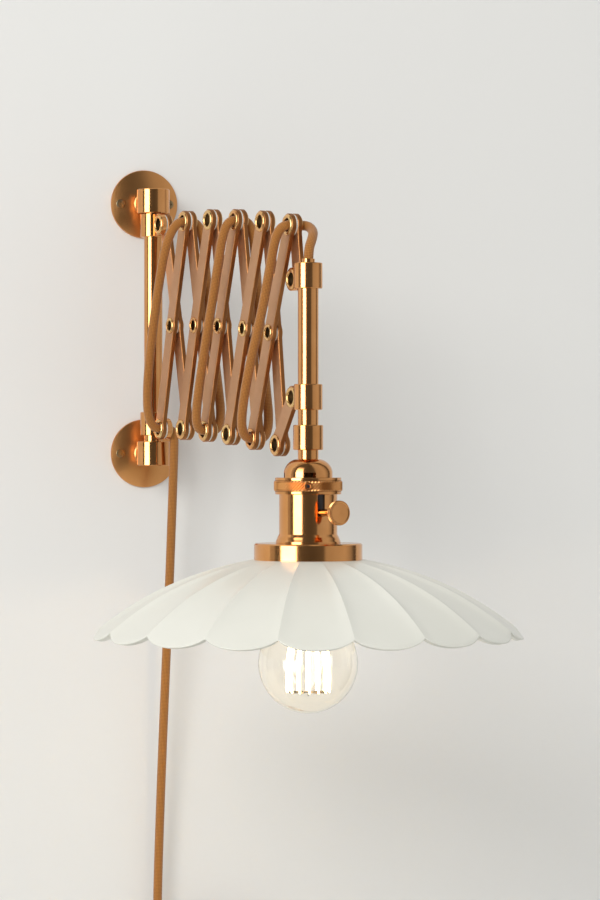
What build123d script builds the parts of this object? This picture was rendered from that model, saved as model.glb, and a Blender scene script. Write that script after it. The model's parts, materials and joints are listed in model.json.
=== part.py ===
from build123d import *
import os
from math import atan2, cos, degrees, hypot, pi, radians, sin, sqrt, tan

# Accordion wall lamp. Millimetres, +Z up, the wall is the plane Y = 0 and the lamp stands out along -Y.
# The origin lies on the wall, midway between the two wall brackets.

# ---- wall brackets and rod
flange_diameter = 60.0
flange_rim = 2.6
flange_dome = 9.5
stub_diameter = 17.0
rod_stand_off = 35.6
barrel_diameter = 28.6
barrel_height = 21.0
barrel_end_wall = 3.0
rod_diameter = 16.0
rod_wall = 1.5
screw_spacing = 44.0
screw_diameter = 4.0
screw_neck_diameter = 4.6
screw_head_diameter = 7.6
screw_grip = 26.0
screw_cone_height = 2.4
screw_hole_clearance = 0.15
running_clearance = 0.06
seat_gap = 0.3
eye_clearance = 1.63

# ---- accordion arm
arm_yaw = 11.0
bar_count = 5
bar_length = 183.5
bar_width = 14.5
bar_thickness = 3.8
bar_edge = 0.4
eye_diameter = 18.5
middle_eye_diameter = 17.0
eye_blend = 10.0
fold_angle = 15.0
bar_kink = 1.44
end_link_run = 44.0
upper_link_lead = -4.86
washer_thickness = 1.4
side_gap = 0.1
eyelet_flange_diameter = 17.0
eyelet_bore = 10.6
eyelet_barrel_wall = 0.8
eyelet_flange_thickness = 1.2
middle_eyelet_flange_diameter = 13.8
middle_eyelet_bore = 8.4
washer_diameter = 17.0
collar_diameter = 22.7
collar_height = 20.4
lug_reach = 21.0
lug_height = 18.5
lower_collar_rise = 4.5

# ---- head
post_diameter = 16.3
post_wall = 1.5
post_collar_rise = 1.9
cord_mouth_diameter = 8.6
cord_lip_diameter = 10.6
cord_lip_height = 3.2
stop_collar_diameter = 23.7
stop_collar_height = 19.8
stop_collar_gap = 12.0
neck_length = 7.1
cap_diameter = 39.0
cap_height = 14.7
cap_crown_diameter = 18.0
cap_wall = 1.4
cap_window_width = 9.5
cap_window_height = 4.0
cap_window_count = 4
cap_window_azimuth = -101.6
ring_diameter = 54.4
ring_rim_diameter = 52.6
ring_height = 13.3
ring_rim_height = 2.4
ring_hole_diameter = 4.0
ring_hole_azimuth = -106.0
shell_diameter = 46.2
shell_wall = 1.2
shell_height = 31.6
shell_seat_depth = 2.5
foot_diameter = 51.5
foot_height = 7.2
holder_diameter = 86.0
holder_height = 13.2
holder_wall = 1.5
insulator_gap = 0.3
skirt_length = 28.0
skirt_diameter = 39.0
shade_nut_diameter = 54.0
shade_nut_height = 4.0
socket_thread_diameter = 28.6
socket_thread_wall = 0.6
socket_depth = 26.0

# ---- switch knob
knob_azimuth = -70.0
knob_side_step = 3.8
slot_azimuth = -79.5
knob_drop = 27.4
knob_diameter = 19.6
knob_thickness = 4.4
knob_reach = 47.8
knob_face_recess = 0.5
knob_stem_diameter = 4.6
knob_stem_depth = 12.0
slot_width = 6.2

# ---- shade
shade_diameter = 341.0
shade_wall = 1.2
petal_count = 18
cusp_azimuth = 6.0
shade_flat_diameter = 92.0
shade_drop = 55.0
shade_knee_share = 0.385
shade_crown_overlap = 4.0
shade_crown_sink = 0.3
cusp_inset = 5.5
cusp_lift = 5.0
lip_length = 8.0
lip_inset = 5.0

# ---- bulb
bulb_diameter = 79.4
bulb_drop = 82.0
bulb_glass_wall = 0.8
bulb_neck_diameter = 27.0
bulb_cap_diameter = 26.0
bulb_cap_length = 26.0
bulb_stem_diameter = 9.0
filament_count = 8
filament_circle = 30.0
filament_length = 46.0
filament_diameter = 1.8

# ---- cord
cord_diameter = 7.8
coil_turn_pitch = 8.4
coil_outer_radius = 53.0
coil_half_turns_in = 5
coil_half_turns_out = 4
coil_entry = (7.8, -17.0, -580.0)
coil_lead_in = 8.0
coil_tail = 55.0
tie_width = 10.0
tie_thickness = 1.2
tie_gap = 0.4
plug_width = 35.0
plug_thickness = 13.7
plug_length = 36.0
plug_nose_width = 13.0
plug_pin_spacing = 19.0
plug_pin_diameter = 4.0
plug_pin_length = 19.0
plug_entry_depth = 6.0
plug_entry_clearance = 0.1

# ---- values that follow from the sizes above
rod_radius = rod_diameter / 2
post_radius = post_diameter / 2
eye_radius = eye_diameter / 2
cord_radius = cord_diameter / 2
bar_half = bar_length / 2
half_span = bar_length * cos(radians(fold_angle)) / 2
bracket_spacing = 2 * (half_span + eye_radius + eye_clearance + barrel_height / 2)
layer_near = washer_thickness / 2 + side_gap / 2
layer_far = layer_near + bar_thickness
eyelet_face = layer_far + side_gap + eyelet_flange_thickness
eyelet_barrel = eyelet_bore / 2 + eyelet_barrel_wall
middle_eyelet_barrel = middle_eyelet_bore / 2 + eyelet_barrel_wall

arm_out = Vector(sin(radians(arm_yaw)), -cos(radians(arm_yaw)), 0)
arm_front = Vector(-cos(radians(arm_yaw)), -sin(radians(arm_yaw)), 0)
rod_point = Vector(0, -rod_stand_off, 0)
arm_plane = Plane(origin=rod_point, x_dir=arm_out, z_dir=arm_front)


def arm_point(reach, height, front=0.0):
    """A point given by its reach from the rod, its height and its distance in front of the arm's middle plane."""
    return arm_plane.from_local_coords(Vector(reach, height, front))


def step_up(start, angle, length):
    """The point reached from start by going up, angle degrees off vertical."""
    return (start[0] + length * sin(radians(angle)), start[1] + length * cos(radians(angle)))


def step_down(start, angle, length):
    return (start[0] + length * sin(radians(angle)), start[1] - length * cos(radians(angle)))


# ---- pivots of the accordion, as (reach, height)
top_pivots = [(lug_reach, half_span)]
bottom_pivots = [(lug_reach, -half_span)]
middle_pivots = []
for i in range(bar_count):
    front_middle = step_up(bottom_pivots[i], fold_angle + i * bar_kink, bar_half)
    rear_middle = step_down(top_pivots[i], fold_angle - i * bar_kink, bar_half)
    middle_pivots.append(front_middle)
    top_pivots.append(step_up(front_middle, fold_angle + (i + 1) * bar_kink, bar_half))
    bottom_pivots.append(step_down(rear_middle, fold_angle - (i + 1) * bar_kink, bar_half))

# The two end links differ in lead by the arm's whole droop, which keeps the post upright at every fold.
lower_link_lead = upper_link_lead + bar_length * sin(radians(bar_count * bar_kink))
upper_link_length = hypot(end_link_run, upper_link_lead)
lower_link_length = hypot(end_link_run, lower_link_lead)
upper_link_angle = fold_angle + degrees(atan2(upper_link_lead, end_link_run))
lower_link_angle = fold_angle + degrees(atan2(lower_link_lead, end_link_run))
upper_post_pivot = step_down(top_pivots[-1], upper_link_angle, upper_link_length)
lower_post_pivot = step_up(bottom_pivots[-1], lower_link_angle, lower_link_length)
post_reach = upper_post_pivot[0] + lug_reach
post_point = arm_point(post_reach, 0)

# ---- heights of the head, from the lower collar down
post_top = upper_post_pivot[1] + post_collar_rise + collar_height / 2 - 0.6
sliding_collar_centre = lower_post_pivot[1]
stop_collar_top = sliding_collar_centre - collar_height / 2 - stop_collar_gap
stop_collar_bottom = stop_collar_top - stop_collar_height
cap_top = stop_collar_bottom - neck_length
ring_top = cap_top - cap_height
ring_bottom = ring_top - ring_height
shell_top = ring_bottom + shell_seat_depth
foot_top = ring_bottom - shell_height
foot_bottom = foot_top - foot_height
holder_bottom = foot_bottom - holder_height
shade_flat_bottom = holder_bottom - shade_wall
nut_top = shade_flat_bottom - 2 * shade_crown_sink
knob_height = ring_top - knob_drop
skirt_bottom = holder_bottom - skirt_length
bulb_centre = holder_bottom - bulb_drop
bulb_cap_bottom = skirt_bottom + 0.4
bulb_cap_top = bulb_cap_bottom + bulb_cap_length
shell_bore = shell_diameter / 2 - shell_wall
insulator_radius = shell_bore - insulator_gap


def keep(builder, label):
    builder.part.label = label
    export_step(builder.part, f"parts/{label}.step")
    return builder.part


def post_plane(height, azimuth=0.0):
    """A level plane on the post's axis, its X turned to azimuth."""
    facing = (cos(radians(azimuth)), sin(radians(azimuth)), 0)
    return Plane(origin=(post_point.X, post_point.Y, height), x_dir=facing, z_dir=(0, 0, 1))


def post_section(azimuth=0.0):
    """An upright plane through the post's axis: X is the radius and Y is the height."""
    facing = (cos(radians(azimuth)), sin(radians(azimuth)), 0)
    side = (sin(radians(azimuth)), -cos(radians(azimuth)), 0)
    return Plane(origin=(post_point.X, post_point.Y, 0), x_dir=facing, z_dir=side)


post_axis = Axis((post_point.X, post_point.Y, 0), (0, 0, 1))


def turned_on_post(points, label):
    """A piece turned about the post's axis from a closed outline of (radius, height) points."""
    with BuildPart() as turned:
        with BuildSketch(post_section()):
            with BuildLine():
                Polyline(*points, close=True)
            make_face()
        revolve(axis=post_axis)
    return keep(turned, label) if label else turned


# ======== wall brackets
def make_bracket(side, label):
    """One wall bracket: a domed flange, a stub and an upright barrel with a blind bore for the rod."""
    height = side * bracket_spacing / 2
    section = Plane(origin=(0, 0, height), x_dir=(1, 0, 0), z_dir=(0, 0, 1))
    stub_end = -(rod_stand_off - barrel_diameter / 4)
    dome_top = -(flange_rim + flange_dome)
    with BuildPart() as bracket:
        with BuildSketch(section):
            with BuildLine():
                Line((0, 0), (flange_diameter / 2, 0))
                Line((flange_diameter / 2, 0), (flange_diameter / 2, -flange_rim))
                ThreePointArc(
                    (flange_diameter / 2, -flange_rim),
                    (flange_diameter * 0.36, dome_top * 0.62),
                    (stub_diameter / 2 + 3, dome_top),
                )
                RadiusArc((stub_diameter / 2 + 3, dome_top), (stub_diameter / 2, dome_top - 3), -3)
                Line((stub_diameter / 2, dome_top - 3), (stub_diameter / 2, stub_end))
                Line((stub_diameter / 2, stub_end), (0, stub_end))
                Line((0, stub_end), (0, 0))
            make_face()
        revolve(axis=Axis((0, 0, height), (0, 1, 0)))
        with BuildSketch(Plane.XY.offset(height - barrel_height / 2)):
            with Locations((0, -rod_stand_off)):
                Circle(barrel_diameter / 2)
        extrude(amount=barrel_height)
        chamfer(bracket.edges().filter_by(GeomType.CIRCLE).filter_by(
            lambda e: abs(e.radius - barrel_diameter / 2) < 0.01), length=0.5)
        bore_floor = height + side * (barrel_height / 2 - barrel_end_wall)
        bore_mouth = height - side * (barrel_height / 2 + 1)
        with BuildSketch(Plane.XY.offset(min(bore_floor, bore_mouth))):
            with Locations((0, -rod_stand_off)):
                Circle(rod_radius + running_clearance)
        extrude(amount=abs(bore_mouth - bore_floor), mode=Mode.SUBTRACT)
        for x in (-screw_spacing / 2, screw_spacing / 2):
            with BuildSketch(Plane(origin=(x, 0, height), x_dir=(1, 0, 0), z_dir=(0, 0, 1))):
                with BuildLine():
                    Polyline(*screw_seat_outline(), close=True)
                make_face()
            revolve(axis=Axis((x, 0, height), (0, 1, 0)), mode=Mode.SUBTRACT)
    return keep(bracket, label)


seat_depth = flange_rim + 2.9
screw_neck_radius = screw_neck_diameter / 2
screw_hole_radius = screw_neck_radius + screw_hole_clearance
head_radius = screw_head_diameter / 2


def screw_seat_outline():
    """Half the countersunk hole, as (radius, depth): a shank hole, a cone and a clear well above the head."""
    cone_floor = -(seat_depth - screw_cone_height)
    well = -(flange_rim + flange_dome)
    return [
        (0, 1),
        (screw_hole_radius, 1),
        (screw_hole_radius, cone_floor),
        (head_radius + screw_hole_clearance, -seat_depth),
        (head_radius + screw_hole_clearance, well),
        (0, well),
    ]


make_bracket(1, "wall_bracket_upper")
make_bracket(-1, "wall_bracket_lower")

with BuildPart() as wall_screws:
    for x in (-screw_spacing / 2, screw_spacing / 2):
        for z in (-bracket_spacing / 2, bracket_spacing / 2):
            with BuildSketch(Plane(origin=(x, 0, z), x_dir=(1, 0, 0), z_dir=(0, 0, 1))):
                with BuildLine():
                    Polyline(
                        (0, -seat_depth + 0.1),
                        (head_radius - 0.1, -seat_depth + 0.1),
                        (screw_neck_radius, -(seat_depth - screw_cone_height) + 0.1),
                        (screw_neck_radius, 0),
                        (screw_diameter / 2, 0),
                        (screw_diameter / 2, screw_grip - 4),
                        (0, screw_grip),
                        close=True,
                    )
                make_face()
            revolve(axis=Axis((x, 0, z), (0, 1, 0)))
            with BuildSketch(Plane(origin=(x, -seat_depth, z), x_dir=(1, 0, 0), z_dir=(0, 1, 0))):
                Rectangle(1.0, 4.4)
                Rectangle(4.4, 1.0)
            extrude(amount=1.6, mode=Mode.SUBTRACT)
keep(wall_screws, "wall_screws")

# ======== rod and its collars
rod_half = bracket_spacing / 2 + barrel_height / 2 - barrel_end_wall - seat_gap
with BuildPart() as wall_rod:
    with BuildSketch(Plane.XY.offset(-rod_half)):
        with Locations((0, -rod_stand_off)):
            Circle(rod_radius)
            Circle(rod_radius - rod_wall, mode=Mode.SUBTRACT)
    extrude(amount=2 * rod_half)
keep(wall_rod, "wall_rod")


def make_collar(
    reach, centre, bore_radius, pivot, toward, layer, label, lip=False, clear_below=collar_diameter / 2,
):
    """A collar on the rod or the post, with a flat lug that holds one eye of the arm.

    toward is +1 where the lug points away from the wall, layer is +1 for the front bars' layer. clear_below
    is the radius kept free of the lug under the collar.
    """
    low = min(layer * layer_near, layer * layer_far)
    with BuildPart() as collar:
        with BuildSketch(arm_level(centre - collar_height / 2)):
            with Locations((reach, 0)):
                Circle(collar_diameter / 2)
        extrude(amount=collar_height)
        chamfer(collar.edges().filter_by(GeomType.CIRCLE), length=0.5)
        with BuildSketch(arm_plane.offset(low)):
            with Locations(pivot):
                Circle(eye_radius)
            with Locations(((pivot[0] + reach) / 2, pivot[1])):
                Rectangle(abs(pivot[0] - reach), lug_height)
        extrude(amount=bar_thickness)
        with BuildSketch(arm_plane.offset(low)):
            with Locations(pivot):
                Circle(eyelet_barrel + (0 if layer > 0 and toward > 0 else running_clearance))
        extrude(amount=bar_thickness, mode=Mode.SUBTRACT)
        with BuildSketch(arm_level(centre - collar_height / 2 - 1)):
            with Locations((reach, 0)):
                Circle(bore_radius)
        extrude(amount=collar_height + (2 if not lip else 1 - cord_lip_height), mode=Mode.SUBTRACT)
        for end, clear in ((-1, clear_below), (1, collar_diameter / 2)):
            with BuildSketch(arm_level(centre + end * collar_height / 2)):
                with Locations((reach, 0)):
                    Circle(clear)
            extrude(amount=end * lug_height / 2, mode=Mode.SUBTRACT)
        if lip:
            with BuildSketch(arm_level(centre + collar_height / 2)):
                with Locations((reach, 0)):
                    Circle(cord_lip_diameter / 2)
            extrude(amount=cord_lip_height)
            with BuildSketch(arm_level(centre - collar_height / 2)):
                with Locations((reach, 0)):
                    Circle(cord_mouth_diameter / 2)
            extrude(amount=collar_height + 2 * cord_lip_height, mode=Mode.SUBTRACT)
    return keep(collar, label)


def arm_level(height):
    """A level plane at that height: X runs out along the arm."""
    return Plane(origin=(rod_point.X, rod_point.Y, height), x_dir=arm_out, z_dir=(0, 0, 1))


upper_collar_centre = bracket_spacing / 2 - barrel_height / 2 - seat_gap - collar_height / 2
make_collar(0, upper_collar_centre, rod_radius, top_pivots[0], 1, 1, "upper_arm_collar")
make_collar(
    0, bottom_pivots[0][1] + lower_collar_rise, rod_radius + running_clearance,
    bottom_pivots[0], 1, -1, "lower_arm_collar", clear_below=barrel_diameter / 2 + 0.7,
)
make_collar(
    post_reach, upper_post_pivot[1] + post_collar_rise, post_radius, upper_post_pivot, -1, 1,
    "post_upper_collar", lip=True,
)
make_collar(
    post_reach, sliding_collar_centre, post_radius + running_clearance, lower_post_pivot, -1, -1,
    "post_sliding_collar",
)


# ======== bars and end links
def make_bar(pivots, eyes, holes, layer, label):
    """A flat bar through two or three pivots, with a round eye at each and softly blended sides."""
    low = min(layer * layer_near, layer * layer_far)
    with BuildPart() as bar:
        with BuildSketch(arm_plane.offset(low)) as outline:
            for pivot, eye in zip(pivots, eyes):
                with Locations(pivot):
                    Circle(eye / 2)
            for a, b in zip(pivots, pivots[1:]):
                run = degrees(atan2(b[1] - a[1], b[0] - a[0]))
                with Locations(Location(((a[0] + b[0]) / 2, (a[1] + b[1]) / 2), run)):
                    Rectangle(hypot(b[0] - a[0], b[1] - a[1]), bar_width)
            fillet(outline.vertices(), eye_blend)
        extrude(amount=bar_thickness)
        chamfer(bar.faces().filter_by(arm_plane).edges(), length=bar_edge)
        with BuildSketch(arm_plane.offset(low)):
            for pivot, hole in zip(pivots, holes):
                with Locations(pivot):
                    Circle(hole)
        extrude(amount=bar_thickness, mode=Mode.SUBTRACT)
    return keep(bar, label)


bar_eyes = (eye_diameter, middle_eye_diameter, eye_diameter)
tight_holes = (eyelet_barrel, middle_eyelet_barrel, eyelet_barrel)
free_holes = tuple(r + running_clearance for r in tight_holes)
for i in range(bar_count):
    front = (bottom_pivots[i], middle_pivots[i], top_pivots[i + 1])
    rear = (top_pivots[i], middle_pivots[i], bottom_pivots[i + 1])
    make_bar(front, bar_eyes, tight_holes, 1, f"front_bar_{i + 1}")
    make_bar(rear, bar_eyes, free_holes, -1, f"rear_bar_{i + 1}")

link_eyes = (eye_diameter, eye_diameter)
make_bar(
    (top_pivots[-1], upper_post_pivot), link_eyes,
    (eyelet_barrel + running_clearance, eyelet_barrel), -1, "upper_end_link",
)
make_bar(
    (bottom_pivots[-1], lower_post_pivot), link_eyes,
    (eyelet_barrel, eyelet_barrel), 1, "lower_end_link",
)


# ======== hollow rivets and nylon washers
def add_eyelet(pivot, middle, held_side):
    """One hollow rivet through both layers, in the part being built. Its flange lies on the bar that holds it."""
    flange = (middle_eyelet_flange_diameter if middle else eyelet_flange_diameter) / 2
    bore = (middle_eyelet_bore if middle else eyelet_bore) / 2
    barrel = bore + eyelet_barrel_wall
    front_seat = layer_far if held_side > 0 else layer_far + side_gap
    rear_seat = layer_far if held_side < 0 else layer_far + side_gap
    centre = arm_point(*pivot)
    section = Plane(origin=centre, x_dir=arm_out, z_dir=(0, 0, -1))
    front = front_seat + eyelet_flange_thickness
    rear = rear_seat + eyelet_flange_thickness
    with BuildSketch(section) as outline:
        with BuildLine():
            Polyline(
                (bore, front - 0.5),
                (bore + 0.7, front),
                (flange - 0.5, front),
                (flange, front_seat),
                (barrel, front_seat),
                (barrel, -rear_seat),
                (flange, -rear_seat),
                (flange - 0.5, -rear),
                (bore + 0.7, -rear),
                (bore, 0.5 - rear),
                close=True,
            )
        make_face()
    revolve(outline.sketch, axis=Axis(centre, arm_front))


def add_washer(pivot, middle, held_side):
    """One nylon washer between the layers, in the part being built. It lies on the bar that holds the rivet."""
    barrel = middle_eyelet_barrel if middle else eyelet_barrel
    outside = washer_diameter if not middle else middle_eyelet_flange_diameter + 1
    low = layer_near - washer_thickness if held_side > 0 else -layer_near
    with BuildSketch(arm_plane.offset(low)) as disc:
        with Locations(pivot):
            Circle(outside / 2)
            Circle(barrel, mode=Mode.SUBTRACT)
    extrude(disc.sketch, amount=washer_thickness)


for i in range(bar_count):
    trio = ((bottom_pivots[i], False), (middle_pivots[i], True), (top_pivots[i + 1], False))
    with BuildPart() as eyelets:
        for pivot, middle in trio:
            add_eyelet(pivot, middle, 1)
    keep(eyelets, f"front_bar_{i + 1}_eyelets")
    with BuildPart() as washers:
        for pivot, middle in trio:
            add_washer(pivot, middle, 1)
    keep(washers, f"front_bar_{i + 1}_washers")

with BuildPart() as upper_collar_eyelet:
    add_eyelet(top_pivots[0], False, 1)
keep(upper_collar_eyelet, "upper_collar_eyelet")
with BuildPart() as upper_collar_washer:
    add_washer(top_pivots[0], False, 1)
keep(upper_collar_washer, "upper_collar_washer")

with BuildPart() as upper_link_eyelet:
    add_eyelet(upper_post_pivot, False, -1)
keep(upper_link_eyelet, "upper_link_eyelet")
with BuildPart() as upper_link_washer:
    add_washer(upper_post_pivot, False, -1)
keep(upper_link_washer, "upper_link_washer")

with BuildPart() as lower_link_eyelets:
    add_eyelet(bottom_pivots[-1], False, 1)
    add_eyelet(lower_post_pivot, False, 1)
keep(lower_link_eyelets, "lower_link_eyelets")
with BuildPart() as lower_link_washers:
    add_washer(bottom_pivots[-1], False, 1)
    add_washer(lower_post_pivot, False, 1)
keep(lower_link_washers, "lower_link_washers")

# ======== head post
post_bore = post_radius - post_wall
tube_top = upper_post_pivot[1] + post_collar_rise + collar_height / 2 - cord_lip_height
turned_on_post(
    [
        (post_bore, tube_top),
        (post_radius, tube_top),
        (post_radius, cap_top),
        (post_bore, cap_top),
    ],
    "head_post",
)
stop_radius = stop_collar_diameter / 2
turned_on_post(
    [
        (post_radius, stop_collar_top),
        (stop_radius - 0.5, stop_collar_top),
        (stop_radius, stop_collar_top - 0.5),
        (stop_radius, stop_collar_bottom + 0.5),
        (stop_radius - 0.5, stop_collar_bottom),
        (post_radius, stop_collar_bottom),
    ],
    "post_stop_collar",
)

# ======== lampholder
cap_radius = cap_diameter / 2
crown_radius = cap_crown_diameter / 2
with BuildPart() as socket_cap:
    with BuildSketch(post_section()):
        with BuildLine():
            Line((post_bore, cap_top), (crown_radius, cap_top))
            ThreePointArc(
                (crown_radius, cap_top),
                (cap_radius - 3.4, cap_top - 3.7),
                (cap_radius, ring_top + 3.6),
            )
            Line((cap_radius, ring_top + 3.6), (cap_radius, shell_top))
            Line((cap_radius, shell_top), (cap_radius - cap_wall, shell_top))
            Line((cap_radius - cap_wall, shell_top), (cap_radius - cap_wall, ring_top + 3.6))
            ThreePointArc(
                (cap_radius - cap_wall, ring_top + 3.6),
                (cap_radius - 3.4 - cap_wall * 0.7, cap_top - 3.7 - cap_wall * 0.7),
                (crown_radius, cap_top - cap_wall),
            )
            Line((crown_radius, cap_top - cap_wall), (post_bore, cap_top - cap_wall))
            Line((post_bore, cap_top - cap_wall), (post_bore, cap_top))
        make_face()
    revolve(axis=post_axis)
    for i in range(cap_window_count):
        facing = post_section(cap_window_azimuth + i * 360 / cap_window_count)
        window = Plane(
            origin=facing.from_local_coords(Vector(cap_radius - 4, ring_top + cap_window_height / 2, 0)),
            x_dir=facing.z_dir, z_dir=facing.x_dir,
        )
        with BuildSketch(window):
            Rectangle(cap_window_width, cap_window_height)
        extrude(amount=6, mode=Mode.SUBTRACT)
keep(socket_cap, "socket_cap")

ring_radius = ring_diameter / 2
ring_rim_radius = ring_rim_diameter / 2
with BuildPart() as knurled_ring:
    with BuildSketch(post_section()):
        with BuildLine():
            Polyline(
                (cap_radius, ring_top),
                (ring_rim_radius - 0.6, ring_top),
                (ring_rim_radius, ring_top - 0.6),
                (ring_rim_radius, ring_top - ring_rim_height),
                (ring_radius, ring_top - ring_rim_height - 0.8),
                (ring_radius, ring_bottom + ring_rim_height + 0.8),
                (ring_rim_radius, ring_bottom + ring_rim_height),
                (ring_rim_radius, ring_bottom + 0.6),
                (ring_rim_radius - 0.6, ring_bottom),
                (shell_diameter / 2, ring_bottom),
                (shell_diameter / 2, shell_top),
                (cap_radius, shell_top),
                close=True,
            )
        make_face()
    revolve(axis=post_axis)
    facing = post_section(ring_hole_azimuth)
    with BuildSketch(Plane(
        origin=facing.from_local_coords(Vector(cap_radius + 1, (ring_top + ring_bottom) / 2, 0)),
        x_dir=facing.z_dir, z_dir=facing.x_dir,
    )):
        Circle(ring_hole_diameter / 2)
    extrude(amount=ring_diameter, mode=Mode.SUBTRACT)
keep(knurled_ring, "knurled_ring")

shell_radius = shell_diameter / 2
foot_radius = foot_diameter / 2
with BuildPart() as socket_shell:
    with BuildSketch(post_section()):
        with BuildLine():
            Polyline(
                (shell_bore, shell_top),
                (shell_radius, shell_top),
                (shell_radius, foot_top),
                (shell_radius + 1.2, foot_top - foot_height * 0.3),
                (foot_radius - 0.8, foot_top - foot_height * 0.55),
                (foot_radius, foot_bottom + foot_height * 0.2),
                (foot_radius, foot_bottom),
                (shell_bore, foot_bottom),
                close=True,
            )
        make_face()
    revolve(axis=post_axis)
    facing = post_section(slot_azimuth)
    slot_bottom = knob_height - slot_width / 2
    slot_centre = (shell_top + 1 + slot_bottom) / 2
    with BuildSketch(Plane(
        origin=facing.from_local_coords(Vector(shell_bore - 4, slot_centre, 0)),
        x_dir=facing.z_dir, z_dir=facing.x_dir,
    )):
        Rectangle(slot_width, shell_top + 1 - slot_bottom)
    extrude(amount=8, mode=Mode.SUBTRACT)
keep(socket_shell, "socket_shell")

thread_radius = socket_thread_diameter / 2
contact_top = skirt_bottom + socket_depth
with BuildPart() as socket_insulator:
    with BuildSketch(post_section()):
        with BuildLine():
            Polyline(
                (0, shell_top - 0.5),
                (insulator_radius, shell_top - 0.5),
                (insulator_radius, foot_bottom + 0.3),
                (skirt_diameter / 2, foot_bottom + 0.3),
                (skirt_diameter / 2, nut_top),
                (shade_nut_diameter / 2, nut_top),
                (shade_nut_diameter / 2, nut_top - shade_nut_height),
                (skirt_diameter / 2, nut_top - shade_nut_height),
                (skirt_diameter / 2, skirt_bottom),
                (thread_radius, skirt_bottom),
                (thread_radius, contact_top + 2),
                (0, contact_top + 2),
                close=True,
            )
        make_face()
    revolve(axis=post_axis)
    facing = post_section(knob_azimuth)
    with BuildSketch(Plane(
        origin=facing.from_local_coords(
            Vector(insulator_radius - knob_stem_depth, knob_height, knob_side_step)),
        x_dir=facing.z_dir, z_dir=facing.x_dir,
    )):
        Circle(knob_stem_diameter / 2 + running_clearance)
    extrude(amount=knob_stem_depth + 5, mode=Mode.SUBTRACT)
keep(socket_insulator, "socket_insulator")

turned_on_post(
    [
        (0, contact_top + 2),
        (thread_radius, contact_top + 2),
        (thread_radius, skirt_bottom + 0.6),
        (thread_radius - socket_thread_wall, skirt_bottom + 0.6),
        (thread_radius - socket_thread_wall, contact_top + 2 - socket_thread_wall),
        (5, contact_top + 2 - socket_thread_wall),
        (4, contact_top + 0.9),
        (0, contact_top + 0.9),
    ],
    "socket_screw_shell",
)

holder_radius = holder_diameter / 2
holder_bore = skirt_diameter / 2 + seat_gap
turned_on_post(
    [
        (holder_bore, foot_bottom),
        (holder_radius - 1, foot_bottom),
        (holder_radius, foot_bottom - 1),
        (holder_radius, holder_bottom),
        (holder_radius - holder_wall, holder_bottom),
        (holder_radius - holder_wall, foot_bottom - holder_wall),
        (holder_bore, foot_bottom - holder_wall),
    ],
    "shade_holder",
)

# ======== switch knob
knob_facing = post_section(knob_azimuth)
knob_section = Plane(
    origin=knob_facing.from_local_coords(Vector(0, knob_height, knob_side_step)),
    x_dir=knob_facing.x_dir, z_dir=knob_facing.z_dir,
)
knob_radius = knob_diameter / 2
stem_radius = knob_stem_diameter / 2
knob_back = knob_reach - knob_thickness
stem_start = insulator_radius - knob_stem_depth + 0.3
with BuildPart() as switch_knob:
    with BuildSketch(knob_section):
        with BuildLine():
            Polyline(
                (stem_start, 0),
                (stem_start, stem_radius),
                (knob_back - 1, stem_radius),
                (knob_back, stem_radius + 1.6),
                (knob_back, knob_radius - 0.6),
                (knob_back + 0.6, knob_radius),
                (knob_reach - 0.8, knob_radius),
                (knob_reach, knob_radius - 0.8),
                (knob_reach, knob_radius - 1.3),
                (knob_reach - knob_face_recess, knob_radius - 1.8),
                (knob_reach - knob_face_recess, 0),
                close=True,
            )
        make_face()
    revolve(axis=Axis(knob_section.origin, knob_section.x_dir))
keep(switch_knob, "switch_knob")

# ======== shade
shade_radius = shade_diameter / 2
flat_radius = shade_flat_diameter / 2
rim_height = shade_flat_bottom - shade_drop


def petal_profile(inset, lift):
    """The shade's section at one azimuth: a flat ring, a sloping dome, a sharp rim and a turned-in lip."""
    rim = Vector(shade_radius - inset, rim_height + lift)
    crown = Vector(flat_radius - shade_crown_overlap, shade_flat_bottom + shade_wall - shade_crown_sink)
    span = rim.X - crown.X
    fall = crown.Y - rim.Y
    knee = Vector(crown.X + span * 0.52, crown.Y - fall * shade_knee_share + lift * 0.2)
    lip = Vector(rim.X - lip_inset, rim.Y - sqrt(lip_length ** 2 - lip_inset ** 2))
    return crown, knee, rim, lip


def petal_face(azimuth, inset, lift):
    crown, knee, rim, lip = petal_profile(inset, lift)
    inner_knee = knee - Vector(0, shade_wall)
    inner_rim = rim - Vector(shade_wall * 1.5, shade_wall * 0.4)
    inner_lip = lip - Vector(shade_wall, 0)
    with BuildSketch(post_section(azimuth)) as face:
        with BuildLine():
            ThreePointArc(crown, knee, rim)
            Line(rim, lip)
            Line(lip, inner_lip)
            Line(inner_lip, inner_rim)
            ThreePointArc(inner_rim, inner_knee, crown - Vector(0, shade_wall))
            Line(crown - Vector(0, shade_wall), crown)
        make_face()
    return face.sketch


petal_angle = 360 / petal_count
with BuildPart() as lamp_shade:
    with BuildSketch(post_plane(shade_flat_bottom - 2 * shade_crown_sink)):
        Circle(flat_radius)
        Circle(skirt_diameter / 2 + seat_gap, mode=Mode.SUBTRACT)
    extrude(amount=shade_wall + 2 * shade_crown_sink)
    petal = loft([
        petal_face(cusp_azimuth, cusp_inset, cusp_lift).face(),
        petal_face(cusp_azimuth + petal_angle / 2, 0, 0).face(),
        petal_face(cusp_azimuth + petal_angle, cusp_inset, cusp_lift).face(),
    ], mode=Mode.PRIVATE)
    add([petal.rotate(post_axis, i * petal_angle) for i in range(petal_count)])
keep(lamp_shade, "lamp_shade")

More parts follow.
